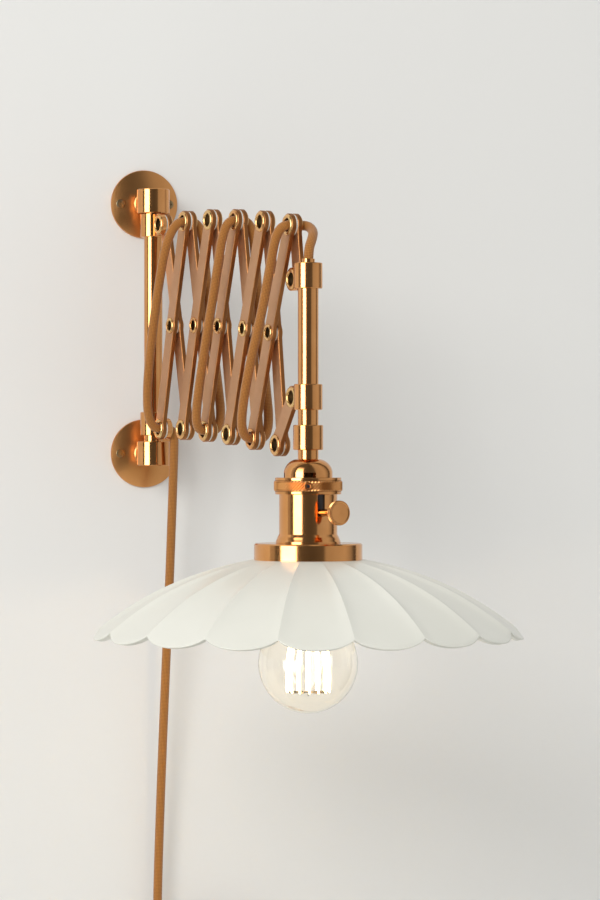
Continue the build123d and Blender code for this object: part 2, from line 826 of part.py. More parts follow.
# ======== bulb
bulb_radius = bulb_diameter / 2
neck_radius = bulb_neck_diameter / 2
glass_bore = bulb_radius - bulb_glass_wall
neck_foot = bulb_centre + bulb_radius * 0.80
shoulder = sqrt(bulb_radius ** 2 - (bulb_radius * 0.80) ** 2)
inner_shoulder = sqrt(glass_bore ** 2 - (bulb_radius * 0.80) ** 2)
with BuildPart() as bulb_glass:
    with BuildSketch(post_section()):
        with BuildLine():
            ThreePointArc(
                (0, bulb_centre - bulb_radius),
                (bulb_radius, bulb_centre),
                (shoulder, neck_foot),
            )
            Spline(
                [(shoulder, neck_foot), (neck_radius, bulb_cap_bottom)],
                tangents=[(-4, 3), (0, 1)],
            )
            Line((neck_radius, bulb_cap_bottom), (neck_radius - bulb_glass_wall, bulb_cap_bottom))
            Spline(
                [(neck_radius - bulb_glass_wall, bulb_cap_bottom), (inner_shoulder, neck_foot)],
                tangents=[(0, -1), (4, -3)],
            )
            ThreePointArc(
                (inner_shoulder, neck_foot),
                (glass_bore, bulb_centre),
                (0, bulb_centre - glass_bore),
            )
            Line((0, bulb_centre - glass_bore), (0, bulb_centre - bulb_radius))
        make_face()
    revolve(axis=post_axis)
keep(bulb_glass, "bulb_glass")

bulb_cap_radius = bulb_cap_diameter / 2
turned_on_post(
    [
        (0, bulb_cap_top),
        (4.5, bulb_cap_top),
        (5.5, bulb_cap_top - 2),
        (bulb_cap_radius - 2, bulb_cap_top - 4),
        (bulb_cap_radius, bulb_cap_top - 6),
        (bulb_cap_radius, bulb_cap_bottom),
        (0, bulb_cap_bottom),
    ],
    "bulb_cap",
)

stem_foot = bulb_centre + filament_length / 2 - 4
filament_bottom = bulb_centre - filament_length / 2 - 4
filament_top = filament_bottom + filament_length
with BuildPart() as bulb_filaments:
    with BuildSketch(post_plane(stem_foot)):
        Circle(bulb_stem_diameter / 2)
    extrude(amount=bulb_cap_bottom - stem_foot)
    with BuildSketch(post_plane(filament_bottom)):
        Circle(1.2)
    extrude(amount=stem_foot - filament_bottom + 1)
    for i in range(filament_count):
        turn = i * 360 / filament_count
        spoke = post_plane(filament_bottom, turn)
        with BuildSketch(spoke):
            with Locations((filament_circle / 2, 0)):
                Circle(filament_diameter / 2)
        extrude(amount=filament_length)
        for level in (filament_bottom, filament_top - 1):
            with BuildSketch(post_plane(level, turn)):
                with Locations((filament_circle / 4, 0)):
                    Rectangle(filament_circle / 2, 0.8)
            extrude(amount=1)
keep(bulb_filaments, "bulb_filaments")


# ======== cord
def corner_radii(points):
    """The largest arc each corner's two runs allow."""
    radii = []
    for a, b, c in zip(points, points[1:], points[2:]):
        turn = (b - a).get_angle(c - b)
        shorter = min((b - a).length, (c - b).length)
        radii.append(0.45 * shorter / tan(radians(turn / 2)))
    return radii


def make_cord(points, label):
    """A round tube along straight runs joined by tangent arcs."""
    points = [Vector(*p) for p in points]
    radii = corner_radii(points)
    with BuildPart() as cord:
        with BuildLine() as path:
            FilletPolyline(*points, radius=radii)
        wire = path.wires()[0]
        with BuildSketch(Plane(origin=wire @ 0, z_dir=wire % 0)):
            Circle(cord_radius)
        sweep(path=wire)
    length = wire.length
    expected = pi * cord_radius ** 2 * length
    runs = [(b - a).length for a, b in zip(points, points[1:])]
    print(
        label, "length", round(length, 1),
        "volume/expected", round(cord.part.volume / expected, 4),
        "radii", [round(r, 1) for r in radii],
        "runs", [round(r, 1) for r in runs],
    )
    keep(cord, label)
    return length


def along_bar(start, end, route):
    """Route points (distance along the bar, distance in front of it) as points in space."""
    span = hypot(end[0] - start[0], end[1] - start[1])
    out = []
    for along, front in route:
        share = along / span
        reach = start[0] + (end[0] - start[0]) * share
        height = start[1] + (end[1] - start[1]) * share
        out.append(arm_point(reach, height, front))
    return out


span = 2 * bar_half * cos(radians(bar_kink / 2))
front_route_1 = [
    (0, 0), (0, 6.6), (4.6, 12.4), (16, 17.2), (44, 20.4), (84, 21.0), (124, 20.2),
    (152, 18.8), (span - 15.5, 16.4), (span - 4.4, 12.0), (span, 6.6), (span, 0),
]
front_route_3 = [
    (0, 0), (0, 6.4), (4.4, 11.0), (16, 13.6), (46, 14.3), (88, 13.8), (130, 12.8),
    (span - 17, 12.9), (span - 4.6, 10.6), (span, 6.2), (span, 0),
]
front_route_5 = [
    (0, 0), (0, 6.6), (4.4, 12.0), (15, 15.6), (40, 17.0), (72, 16.2), (110, 13.8),
    (146, 13.4), (span - 14.5, 13.6), (span - 4.2, 11.2), (span, 6.4), (span, 0),
]
rear_route = [
    (0, 0), (0, -6.4), (4.4, -11.0), (16, -13.2), (52, -12.6), (104, -12.6), (146, -13.6),
    (span - 17, -14.0), (span - 4.6, -11.2), (span, -6.4), (span, 0),
]
cord_length = 0
for i, route in ((0, front_route_1), (2, front_route_3), (4, front_route_5)):
    points = along_bar(bottom_pivots[i], top_pivots[i + 1], route)
    cord_length += make_cord(points, f"cord_on_front_bar_{i + 1}")
for i in (1, 3):
    points = along_bar(top_pivots[i], bottom_pivots[i + 1], rear_route)
    cord_length += make_cord(points, f"cord_on_rear_bar_{i + 1}")

last_top = top_pivots[-1]
lip_top = upper_post_pivot[1] + post_collar_rise + collar_height / 2 + cord_lip_height
entry_depth = 20.0
entry_route = [
    arm_point(last_top[0], last_top[1], 0),
    arm_point(last_top[0], last_top[1], -6.6),
    arm_point(last_top[0] + 4.5, last_top[1] - 0.6, -12.2),
    arm_point(last_top[0] + 13.5, last_top[1] - 5.5, -12.0),
    arm_point(post_reach - 4.5, last_top[1] - 12.0, -6.0),
    arm_point(post_reach, lip_top + 7.0, 0),
    arm_point(post_reach, lip_top - entry_depth / 2, 0),
]
cord_length += make_cord(entry_route, "cord_to_post")
inner_lead_top = lip_top - entry_depth / 2
turned_on_post(
    [
        (0, inner_lead_top),
        (cord_radius, inner_lead_top),
        (cord_radius, shell_top - 0.5),
        (0, shell_top - 0.5),
    ],
    "cord_in_post",
)

first_bottom = bottom_pivots[0]
hanging_route = [
    arm_point(first_bottom[0], first_bottom[1], 0),
    arm_point(first_bottom[0], first_bottom[1], -6.4),
    arm_point(first_bottom[0], first_bottom[1] - 4.2, -10.4),
    Vector(14.2, -54.0, -104.0),
    Vector(14.2, -51.5, -124.0),
    Vector(14.1, -46.5, -164.0),
    Vector(13.5, -39.0, -228.0),
    Vector(12.2, -29.5, -310.0),
    Vector(10.4, -22.3, -395.0),
    Vector(8.7, -18.4, -470.0),
    Vector(coil_entry[0], coil_entry[1], -526.0),
    Vector(coil_entry[0], coil_entry[1], coil_entry[2] + coil_lead_in),
]
cord_length += make_cord(hanging_route, "hanging_cord")

# The coil hangs flat against the wall: half turns spiral in on the wall's side, climb in the innermost
# half turn, and spiral out again in front.
coil_step = coil_turn_pitch / 2
coil_near = coil_entry[1]
coil_out = coil_near - coil_turn_pitch
coil_path = []
x, y, z = coil_entry
coil_path.append(((x, y, z + coil_lead_in), None, (x, y, z)))
side = 1
for k in range(coil_half_turns_in):
    radius = coil_outer_radius - k * coil_step
    far = x + side * 2 * radius
    coil_path.append(((x, y, z), ((x + far) / 2, y, z - side * radius), (far, y, z)))
    x = far
    side = -side
climb_radius = coil_outer_radius - coil_half_turns_in * coil_step
far = x + side * 2 * climb_radius
coil_path.append(((x, y, z), ((x + far) / 2, (coil_near + coil_out) / 2, z - side * climb_radius), (far, coil_out, z)))
x, y = far, coil_out
side = -side
for k in range(coil_half_turns_out):
    radius = climb_radius + (k + 1) * coil_step
    far = x + side * 2 * radius
    coil_path.append(((x, y, z), ((x + far) / 2, y, z - side * radius), (far, y, z)))
    x = far
    side = -side
coil_path.append(((x, y, z), None, (x, y, z - coil_tail)))
coil_end = Vector(x, y, z - coil_tail)

with BuildPart() as cord_coil:
    with BuildLine() as coil_line:
        for a, through, b in coil_path:
            if through is None:
                Line(a, b)
            else:
                ThreePointArc(a, through, b)
    coil_wire = coil_line.wires()[0]
    with BuildSketch(Plane(origin=coil_wire @ 0, z_dir=coil_wire % 0)):
        Circle(cord_radius)
    sweep(path=coil_wire)
keep(cord_coil, "cord_coil")
coil_length = coil_wire.length
samples = 600
coil_points = [coil_wire @ (i / samples) for i in range(samples + 1)]
apart = int(2.2 * cord_diameter / (coil_length / samples)) + 1
least = min(
    (coil_points[i] - coil_points[j]).length
    for i in range(samples + 1) for j in range(i + apart, samples + 1)
)
print("coil length", round(coil_length, 1), "least gap to itself", round(least - cord_diameter, 2))
print("cord length in all", round(cord_length + coil_length, 1))

# ======== tie round the coil's upper half turns
top_radii = [coil_outer_radius - k * coil_step for k in (1, coil_half_turns_in)]
tie_low = coil_entry[2] + min(top_radii) - cord_radius - tie_gap - 0.6
tie_high = coil_entry[2] + max(top_radii) + cord_radius + tie_gap
tie_x = coil_entry[0] + coil_outer_radius + coil_step
tie_back = coil_near + cord_radius + tie_gap
tie_front = coil_out - cord_radius - tie_gap
with BuildPart() as coil_tie:
    with BuildSketch(Plane(
        origin=(tie_x - tie_width / 2, (tie_back + tie_front) / 2, (tie_low + tie_high) / 2),
        x_dir=(0, 1, 0), z_dir=(1, 0, 0),
    )):
        RectangleRounded(
            tie_back - tie_front + 2 * tie_thickness, tie_high - tie_low + 2 * tie_thickness,
            cord_radius + tie_thickness,
        )
        RectangleRounded(tie_back - tie_front, tie_high - tie_low, cord_radius, mode=Mode.SUBTRACT)
    extrude(amount=tie_width)
keep(coil_tie, "coil_tie")

# ======== plug
plug_top = coil_end.Z + plug_entry_depth
plug_shoulder = plug_top - plug_length * 0.55
plug_bottom = plug_top - plug_length
with BuildPart() as mains_plug:
    with BuildSketch(Plane(
        origin=(coil_end.X, coil_end.Y + plug_thickness / 2, 0), x_dir=(1, 0, 0), z_dir=(0, -1, 0),
    )):
        with BuildLine():
            Polyline(
                (-plug_nose_width / 2, plug_top),
                (plug_nose_width / 2, plug_top),
                (plug_width / 2, plug_shoulder),
                (plug_width / 2, plug_bottom),
                (-plug_width / 2, plug_bottom),
                (-plug_width / 2, plug_shoulder),
                close=True,
            )
        make_face()
    extrude(amount=plug_thickness)
    fillet(mains_plug.edges().filter_by(Axis.Y), 3)
    chamfer(mains_plug.faces().filter_by(Axis.Y).edges(), length=1.4)
    with BuildSketch(Plane(origin=coil_end - Vector(0, 0, plug_entry_clearance), z_dir=(0, 0, 1))):
        Circle(cord_radius + plug_entry_clearance)
    extrude(amount=plug_entry_depth + 1, mode=Mode.SUBTRACT)
    for side in (-1, 1):
        with BuildSketch(Plane(
            origin=(coil_end.X + side * plug_pin_spacing / 2, coil_end.Y, plug_bottom),
            x_dir=(1, 0, 0), z_dir=(0, 0, -1),
        )):
            Circle(plug_pin_diameter / 2)
        extrude(amount=plug_pin_length)
keep(mains_plug, "mains_plug")
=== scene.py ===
import bpy
import bmesh
import json
from math import atan2, cos, hypot, pi, radians, sin, sqrt
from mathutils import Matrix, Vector


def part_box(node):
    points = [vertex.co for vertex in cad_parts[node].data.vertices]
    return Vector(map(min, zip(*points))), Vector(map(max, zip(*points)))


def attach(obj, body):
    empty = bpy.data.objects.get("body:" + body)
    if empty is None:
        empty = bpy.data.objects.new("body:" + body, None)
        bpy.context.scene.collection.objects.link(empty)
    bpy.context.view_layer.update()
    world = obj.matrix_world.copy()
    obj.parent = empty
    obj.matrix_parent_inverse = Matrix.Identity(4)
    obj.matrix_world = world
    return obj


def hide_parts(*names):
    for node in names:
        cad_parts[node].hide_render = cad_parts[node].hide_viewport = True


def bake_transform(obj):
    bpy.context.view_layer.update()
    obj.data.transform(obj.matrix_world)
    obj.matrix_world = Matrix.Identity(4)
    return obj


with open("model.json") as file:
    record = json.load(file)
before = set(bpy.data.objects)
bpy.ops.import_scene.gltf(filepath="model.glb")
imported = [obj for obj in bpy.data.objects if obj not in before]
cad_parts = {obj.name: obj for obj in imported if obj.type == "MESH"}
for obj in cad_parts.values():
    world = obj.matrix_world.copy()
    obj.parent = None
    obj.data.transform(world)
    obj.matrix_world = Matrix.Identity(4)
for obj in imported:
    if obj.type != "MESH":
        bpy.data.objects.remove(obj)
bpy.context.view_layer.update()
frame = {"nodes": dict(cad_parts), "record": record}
print("frame loaded:", len(frame["nodes"]), "nodes")

# everything is in metres, in the frame of the CAD model: the wall is y = 0 and the lamp stands out along -y
mm = 0.001
# the radius of a turned form's point on its axis
nearAxis = 0.0001 * mm


def toScene(obj):
    bpy.context.scene.collection.objects.link(obj)


# ---- camera, at the photograph's place
camera = {
    "place": (-0.6665, -2.825, -0.107),
    "turn": 16.0,
    "lens": 131.2,
    "sensor": 36.0,
}
camData = bpy.data.cameras.new("photoCamera")
camData.lens = camera["lens"]
camData.sensor_width = camera["sensor"]
camObj = bpy.data.objects.new("photoCamera", camData)
camObj.location = camera["place"]
camObj.rotation_euler = (radians(90), 0, radians(-camera["turn"]))
toScene(camObj)
bpy.context.scene.camera = camObj
bpy.context.scene.view_settings.view_transform = "Standard"
print("camera placed")

# ---- the arm's driving sizes, the same as the CAD model's
arm = {
    "yaw": 11.0,
    "rodStandOff": 35.6 * mm,
    "barLength": 183.5 * mm,
    "foldAngle": 15.0,
    "kink": 1.44,
    "lugReach": 21.0 * mm,
    "bars": 5,
}
armOut = Vector((sin(radians(arm["yaw"])), -cos(radians(arm["yaw"])), 0))
armFront = Vector((-cos(radians(arm["yaw"])), -sin(radians(arm["yaw"])), 0))
rodFoot = Vector((0, -arm["rodStandOff"], 0))
up = Vector((0, 0, 1))


def armPoint(reach, height, front=0.0):
    return rodFoot + armOut * reach + armFront * front + up * height


def jointPlace(name):
    for joint in frame["record"]["behaviour"]["joints"]:
        if joint["name"] == name:
            return Vector(joint["pos_m"])


def swung(start, angle, length, direction):
    return (start[0] + length * sin(radians(angle)), start[1] + direction * length * cos(radians(angle)))


# pivots as (reach, height): top and bottom rows of the accordion and the crossings between them
halfSpan = arm["barLength"] * cos(radians(arm["foldAngle"])) / 2
topPivots = [(arm["lugReach"], halfSpan)]
bottomPivots = [(arm["lugReach"], -halfSpan)]
middlePivots = []
for i in range(arm["bars"]):
    rise = swung(bottomPivots[i], arm["foldAngle"] + i * arm["kink"], arm["barLength"] / 2, 1)
    fall = swung(topPivots[i], arm["foldAngle"] - i * arm["kink"], arm["barLength"] / 2, -1)
    middlePivots.append(rise)
    topPivots.append(swung(rise, arm["foldAngle"] + (i + 1) * arm["kink"], arm["barLength"] / 2, 1))
    bottomPivots.append(swung(fall, arm["foldAngle"] - (i + 1) * arm["kink"], arm["barLength"] / 2, -1))


def armLocal(point):
    offset = point - rodFoot
    return (offset.dot(armOut), offset.z)


upperPostPivot = armLocal(jointPlace("head_turn"))
lowerPostPivot = armLocal(jointPlace("post_slide_turn"))
postReach = upperPostPivot[0] + arm["lugReach"]
postFoot = armPoint(postReach, 0)
print("pivots set out")

# ---- finishes
finish = {
    "copper": (0.74, 0.36, 0.135),
    "copperDeep": (0.66, 0.30, 0.10),
    "bars": (0.64, 0.37, 0.215),
    "barsDeep": (0.57, 0.315, 0.165),
    # the painted shade colour for the bars' sideways-facing edges
    "barsEdgeShade": (0.34, 0.145, 0.05),
    "brass": (0.82, 0.58, 0.25),
    # painted shade for the inside of the rivets' bores; the screws take it as their darker random tone
    "bore": (0.42, 0.27, 0.11),
    "screw": (0.34, 0.31, 0.22),
    "cordLight": (0.48, 0.195, 0.034),
    "cordDark": (0.25, 0.088, 0.013),
    "nylon": (0.78, 0.75, 0.67),
    "enamel": (0.80, 0.795, 0.72),
    "enamelDeep": (0.77, 0.765, 0.685),
    "plastic": (0.012, 0.012, 0.014),
    "steel": (0.10, 0.095, 0.09),
    "glass": (1.0, 0.985, 0.95),
    "glassGlow": (1.0, 0.86, 0.62),
    "glow": (1.0, 0.70, 0.34),
    "wall": (0.83, 0.825, 0.80),
    "backdrop": (0.84, 0.84, 0.82),
}


def newMaterial(name, colour, metallic=0.0, roughness=0.5):
    material = bpy.data.materials.new(name)
    material.use_nodes = True
    shader = material.node_tree.nodes["Principled BSDF"]
    shader.inputs["Base Color"].default_value = (*colour, 1)
    shader.inputs["Metallic"].default_value = metallic
    shader.inputs["Roughness"].default_value = roughness
    return material, material.node_tree, shader


def addNode(tree, kind, inputs=(), **values):
    node = tree.nodes.new("ShaderNode" + kind)
    for key, value in values.items():
        setattr(node, key, value)
    for key, value in dict(inputs).items():
        node.inputs[key].default_value = value
    return node


def join(output, socket):
    output.id_data.links.new(output, socket)


# a math node's output; each value is a number or another node's output
def mathOf(tree, operation, *values):
    node = addNode(tree, "Math", operation=operation)
    for socket, value in zip(node.inputs, values):
        if isinstance(value, (int, float)):
            socket.default_value = value
        else:
            join(value, socket)
    return node.outputs[0]


def rampOf(tree, stops):
    ramp = addNode(tree, "ValToRGB")
    elements = ramp.color_ramp.elements
    for k, (position, colour) in enumerate(stops):
        element = elements[k] if k < 2 else elements.new(position)
        element.position = position
        element.color = (*colour, 1)
    return ramp


def noiseOf(tree, scale, detail=3.0, stretch=(1, 1, 1)):
    coordinates = addNode(tree, "TexCoord")
    mapping = addNode(tree, "Mapping", {"Scale": stretch})
    noise = addNode(tree, "TexNoise", {"Scale": scale, "Detail": detail})
    join(coordinates.outputs["Object"], mapping.inputs["Vector"])
    join(mapping.outputs["Vector"], noise.inputs["Vector"])
    return noise.outputs["Fac"]


def mixColours(tree, shader, factor, first, second):
    ramp = rampOf(tree, [(0.3, first), (0.7, second)])
    join(factor, ramp.inputs["Fac"])
    join(ramp.outputs["Color"], shader.inputs["Base Color"])


def rangeTo(tree, factor, low, high, socket):
    spread = addNode(tree, "MapRange", {"To Min": low, "To Max": high})
    join(factor, spread.inputs["Value"])
    join(spread.outputs["Result"], socket)


def bumpFrom(tree, shader, factor, distance, strength=1.0):
    bump = addNode(tree, "Bump", {"Strength": strength, "Distance": distance})
    join(factor, bump.inputs["Height"])
    join(bump.outputs["Normal"], shader.inputs["Normal"])


def metal(name, light, deep, roughness, grain, grainDepth, stretch=(1, 1, 1)):
    material, tree, shader = newMaterial(name, light, 1.0, roughness)
    patches = noiseOf(tree, 40, 4)
    mixColours(tree, shader, patches, deep, light)
    fine = noiseOf(tree, grain, 2, stretch)
    rangeTo(tree, fine, roughness * 0.8, roughness * 1.25, shader.inputs["Roughness"])
    bumpFrom(tree, shader, fine, grainDepth)
    return material


polishedCopper = metal("polishedCopper", finish["copper"], finish["copperDeep"], 0.13, 900, 0.000004)
knurledCopper = metal("knurledCopper", finish["copper"], finish["copperDeep"], 0.24, 900, 0.000004)
satinCopper = metal("satinCopper", finish["copper"], finish["copperDeep"], 0.30, 1400, 0.00001)
satinBars = metal("satinBars", finish["bars"], finish["barsDeep"], 0.45, 1600, 0.00002)


# painted shade: the bars' base colour turns darker where their surface faces sideways rather than to the arm's
# front, which dims the bright reflections along their edges
def paintEdgeShade(material, facing, edge, edgeCosine=0.90, faceCosine=0.99):
    tree = material.node_tree
    shader = tree.nodes["Principled BSDF"]
    face = shader.inputs["Base Color"].links[0].from_socket
    coordinates = addNode(tree, "TexCoord")
    toward = addNode(tree, "VectorMath", {1: facing}, operation="DOT_PRODUCT")
    limits = {"From Min": edgeCosine, "From Max": faceCosine}
    share = addNode(tree, "MapRange", limits, clamp=True)
    mix = addNode(tree, "Mix", data_type="RGBA")
    mix.inputs["A"].default_value = (*edge, 1)
    join(coordinates.outputs["Normal"], toward.inputs[0])
    join(mathOf(tree, "ABSOLUTE", toward.outputs["Value"]), share.inputs["Value"])
    join(share.outputs["Result"], mix.inputs["Factor"])
    join(face, mix.inputs["B"])
    join(mix.outputs["Result"], shader.inputs["Base Color"])


# painted shade on the bars' edges
paintEdgeShade(satinBars, armFront, finish["barsEdgeShade"])
brassRivets = metal("brassRivets", finish["brass"], finish["copper"], 0.17, 900, 0.00001)
# painted shade: a darker brass finish for a thin sheet inside the rivets' bores
boreShade = metal("boreShade", finish["bore"], finish["plastic"], 0.45, 900, 0.00001)
screwMetal = metal("screwMetal", finish["screw"], finish["bore"], 0.38, 900, 0.00001)
darkSteel = metal("darkSteel", finish["steel"], finish["plastic"], 0.35, 900, 0.00001)

nylonWasher, tree, shader = newMaterial("nylonWasher", finish["nylon"], 0, 0.45)
rangeTo(tree, noiseOf(tree, 500), 0.38, 0.55, shader.inputs["Roughness"])

blackPlastic, tree, shader = newMaterial("blackPlastic", finish["plastic"], 0, 0.38)
fine = noiseOf(tree, 1500)
rangeTo(tree, fine, 0.32, 0.46, shader.inputs["Roughness"])
bumpFrom(tree, shader, fine, 0.00002)

enamel, tree, shader = newMaterial("shadeEnamel", finish["enamel"], 0, 0.34)
shader.inputs["Coat Weight"].default_value = 0.25
shader.inputs["Coat Roughness"].default_value = 0.22
soft = noiseOf(tree, 14, 3)
mixColours(tree, shader, soft, finish["enamelDeep"], finish["enamel"])
bumpFrom(tree, shader, noiseOf(tree, 160, 2), 0.00006)


# light and dark threads cross at 45 degrees round a cord: u runs round it and v along it, in girths
def clothMaterial(name, light, dark, strands):
    material, tree, shader = newMaterial(name, light, 0, 0.78)
    shader.inputs["Sheen Weight"].default_value = 0.25
    shader.inputs["Sheen Roughness"].default_value = 0.5
    uv = addNode(tree, "UVMap", uv_map="weave")
    split = addNode(tree, "SeparateXYZ")
    join(uv.outputs["UV"], split.inputs["Vector"])
    waves = []
    for operation in ("ADD", "SUBTRACT"):
        both = mathOf(tree, operation, split.outputs["X"], split.outputs["Y"])
        waves.append(mathOf(tree, "SINE", mathOf(tree, "MULTIPLY", both, strands * pi)))
    height = addNode(tree, "MapRange", {"From Min": -1})
    join(mathOf(tree, "MULTIPLY", *waves), height.inputs["Value"])
    mixColours(tree, shader, height.outputs["Result"], dark, light)
    bumpFrom(tree, shader, height.outputs["Result"], 0.0002, 0.7)
    return material


cordCloth = clothMaterial("cordCloth", finish["cordLight"], finish["cordDark"], 20)

bulbGlassFinish, tree, shader = newMaterial("bulbGlass", finish["glass"], 0, 0.0)
shader.inputs["Transmission Weight"].default_value = 1.0
shader.inputs["IOR"].default_value = 1.45
shader.inputs["Emission Color"].default_value = (*finish["glassGlow"], 1)
shader.inputs["Emission Strength"].default_value = 0.022

filamentGlow, tree, shader = newMaterial("filamentGlow", finish["glow"], 0, 0.5)
shader.inputs["Emission Color"].default_value = (*finish["glow"], 1)
shader.inputs["Emission Strength"].default_value = 16
print("finishes made")

# ---- the carried-over CAD nodes take these finishes
nodeFinish = {
    "rose_bars": satinBars,
    "polished_copper": polishedCopper,
    "brass_rivets": brassRivets,
    "washer_nylon": nylonWasher,
    "cord_fabric": cordCloth,
    "shade_enamel": enamel,
    "bulb_glass": bulbGlassFinish,
    "bulb_filament": filamentGlow,
    "black_plastic": blackPlastic,
    "screw_steel": darkSteel,
}
slotOfNode = {part["node"]: part["material_slot"] for part in frame["record"]["subparts"]}
bodyOfNode = {n: b for b, names in frame["record"]["behaviour"]["bodies"].items() for n in names}
for name, node in frame["nodes"].items():
    for place in node.material_slots:
        place.material = nodeFinish[slotOfNode[name]]


# ---- making meshes
def addMesh(name, points, faces, material, sharp=30, merge=False):
    mesh = bpy.data.meshes.new(name)
    mesh.from_pydata([tuple(p) for p in points], [], faces)
    mesh.materials.append(material)
    if merge:
        bm = bmesh.new()
        bm.from_mesh(mesh)
        bmesh.ops.remove_doubles(bm, verts=bm.verts, dist=0.001 * mm)
        bmesh.ops.recalc_face_normals(bm, faces=bm.faces)
        bm.to_mesh(mesh)
        bm.free()
    mesh.validate()
    mesh.shade_smooth()
    if sharp:
        mesh.set_sharp_from_angle(angle=radians(sharp))
    obj = bpy.data.objects.new(name, mesh)
    toScene(obj)
    return obj


def sidewaysOf(axis):
    helper = up if abs(axis.normalized().z) < 0.9 else Vector((1, 0, 0))
    across = axis.cross(helper).normalized()
    return across, axis.cross(across).normalized()


# adds a turned form: profile is a closed loop of (radius, distance along the axis)
def latheInto(points, faces, profile, origin, axis, segments):
    first, second = sidewaysOf(axis)
    base = len(points)
    for k in range(segments):
        turn = 2 * pi * k / segments
        spoke = first * cos(turn) + second * sin(turn)
        for radius, along in profile:
            points.append(origin + spoke * radius + axis * along)
    count = len(profile)
    for k in range(segments):
        a, b = base + k * count, base + ((k + 1) % segments) * count
        for j in range(count):
            n = (j + 1) % count
            faces.append((a + j, b + j, b + n, a + n))


def turned(name, profile, origin, axis, material, segments, sharp=30, merge=False):
    points, faces = [], []
    latheInto(points, faces, profile, origin, axis, segments)
    return addMesh(name, points, faces, material, sharp, merge)


# a closed outline with each corner rounded off by the radius, as far as its sides allow
def rounded(corners, radius, steps=4):
    out = []
    total = len(corners)
    for i in range(total):
        before, here, after = Vector(corners[i - 1]), Vector(corners[i]), Vector(corners[(i + 1) % total])
        into, away = (before - here), (after - here)
        reach = min(radius, into.length * 0.45, away.length * 0.45)
        start, end = here + into.normalized() * reach, here + away.normalized() * reach
        for k in range(steps + 1):
            t = k / steps
            out.append(tuple(start * (1 - t) ** 2 + here * 2 * t * (1 - t) + end * t * t))
    return out


# a new mesh of what an object's curve or modifiers give
def meshOf(obj):
    bpy.context.view_layer.update()
    evaluated = obj.evaluated_get(bpy.context.evaluated_depsgraph_get())
    return bpy.data.meshes.new_from_object(evaluated)


# cuts one mesh out of another and throws the cutter away
def carve(obj, cutter, sharp=30):
    cut = obj.modifiers.new("carve", "BOOLEAN")
    cut.operation = "DIFFERENCE"
    cut.solver = "EXACT"
    cut.object = cutter
    mesh = meshOf(obj)
    obj.modifiers.clear()
    obj.data = mesh
    mesh.set_sharp_from_angle(angle=radians(sharp))
    bpy.data.objects.remove(cutter)


def boxInto(points, faces, centre, size):
    base = len(points)
    for x in (-0.5, 0.5):
        for y in (-0.5, 0.5):
            for z in (-0.5, 0.5):
                points.append(centre + Vector((x * size[0], y * size[1], z * size[2])))
    for face in ((0, 1, 3, 2), (4, 6, 7, 5), (0, 4, 5, 1), (2, 3, 7, 6), (0, 2, 6, 4), (1, 5, 7, 3)):
        faces.append(tuple(base + f for f in face))


def finishPiece(obj, body, slot, *nodes):
    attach(obj, body)
    if nodes:
        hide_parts(*nodes)
    return obj


# ---- cords: a smooth line through a given route, then a woven tube along it
cord = {
    "diameter": 7.8 * mm,
    "sides": 20,
    "step": 1.6 * mm,
}


# points of the NURBS line that has the route as its control points
def smoothLine(name, route):
    curve = bpy.data.curves.new(name, "CURVE")
    curve.dimensions = "3D"
    curve.resolution_u = 12
    spline = curve.splines.new("NURBS")
    spline.points.add(len(route) - 1)
    for point, place in zip(spline.points, route):
        point.co = (*place, 1)
    spline.order_u = 3
    spline.use_endpoint_u = True
    holder = bpy.data.objects.new(name, curve)
    toScene(holder)
    mesh = meshOf(holder)
    line = [Vector(v.co) for v in mesh.vertices]
    bpy.data.meshes.remove(mesh)
    bpy.data.objects.remove(holder)
    bpy.data.curves.remove(curve)
    return evenly(line, cord["step"])


# the same line with its points an even distance apart
def evenly(line, step):
    lengths = [0.0]
    for a, b in zip(line, line[1:]):
        lengths.append(lengths[-1] + (b - a).length)
    count = max(2, round(lengths[-1] / step))
    out, j = [], 0
    for k in range(count + 1):
        want = lengths[-1] * k / count
        while j < len(line) - 2 and lengths[j + 1] < want:
            j += 1
        gap = lengths[j + 1] - lengths[j]
        share = (want - lengths[j]) / gap if gap else 0
        out.append(line[j].lerp(line[j + 1], share))
    return out


def lengthOf(line):
    return sum((b - a).length for a, b in zip(line, line[1:]))


# a tube with even rings, capped, whose weave map runs round it and along it; radius is one value or one a ring
def tubeAlong(name, line, radius, material, sides):
    radii = radius if isinstance(radius, list) else [radius] * len(line)
    girth = 2 * pi * radii[0]
    tangent = (line[1] - line[0]).normalized()
    across = sidewaysOf(tangent)[0]
    points, faces, alongs = [], [], []
    travelled = 0.0
    for k, place in enumerate(line):
        if 0 < k < len(line) - 1:
            fresh = (line[k + 1] - line[k - 1]).normalized()
        elif k == 0:
            fresh = tangent
        else:
            fresh = (line[k] - line[k - 1]).normalized()
        across = (across - fresh * across.dot(fresh)).normalized()
        other = fresh.cross(across)
        if k:
            travelled += (place - line[k - 1]).length
        alongs.append(travelled / girth)
        for j in range(sides):
            turn = 2 * pi * j / sides
            points.append(place + (across * cos(turn) + other * sin(turn)) * radii[k])
    for k in range(len(line) - 1):
        for j in range(sides):
            n = (j + 1) % sides
            faces.append((k * sides + j, k * sides + n, (k + 1) * sides + n, (k + 1) * sides + j))
    faces.append(tuple(reversed(range(sides))))
    faces.append(tuple(range((len(line) - 1) * sides, len(line) * sides)))
    obj = addMesh(name, points, faces, material, sharp=50)
    weave = obj.data.uv_layers.new(name="weave")
    for face in obj.data.polygons:
        corners = list(face.loop_indices)
        if len(corners) != 4:
            continue
        for corner in corners:
            vertex = obj.data.loops[corner].vertex_index
            round_, along = vertex % sides, vertex // sides
            u = round_ / sides
            wraps = {obj.data.loops[c].vertex_index % sides for c in corners}
            if round_ == 0 and sides - 1 in wraps:
                u = 1.0
            weave.data[corner].uv = (u, alongs[along])
    return obj


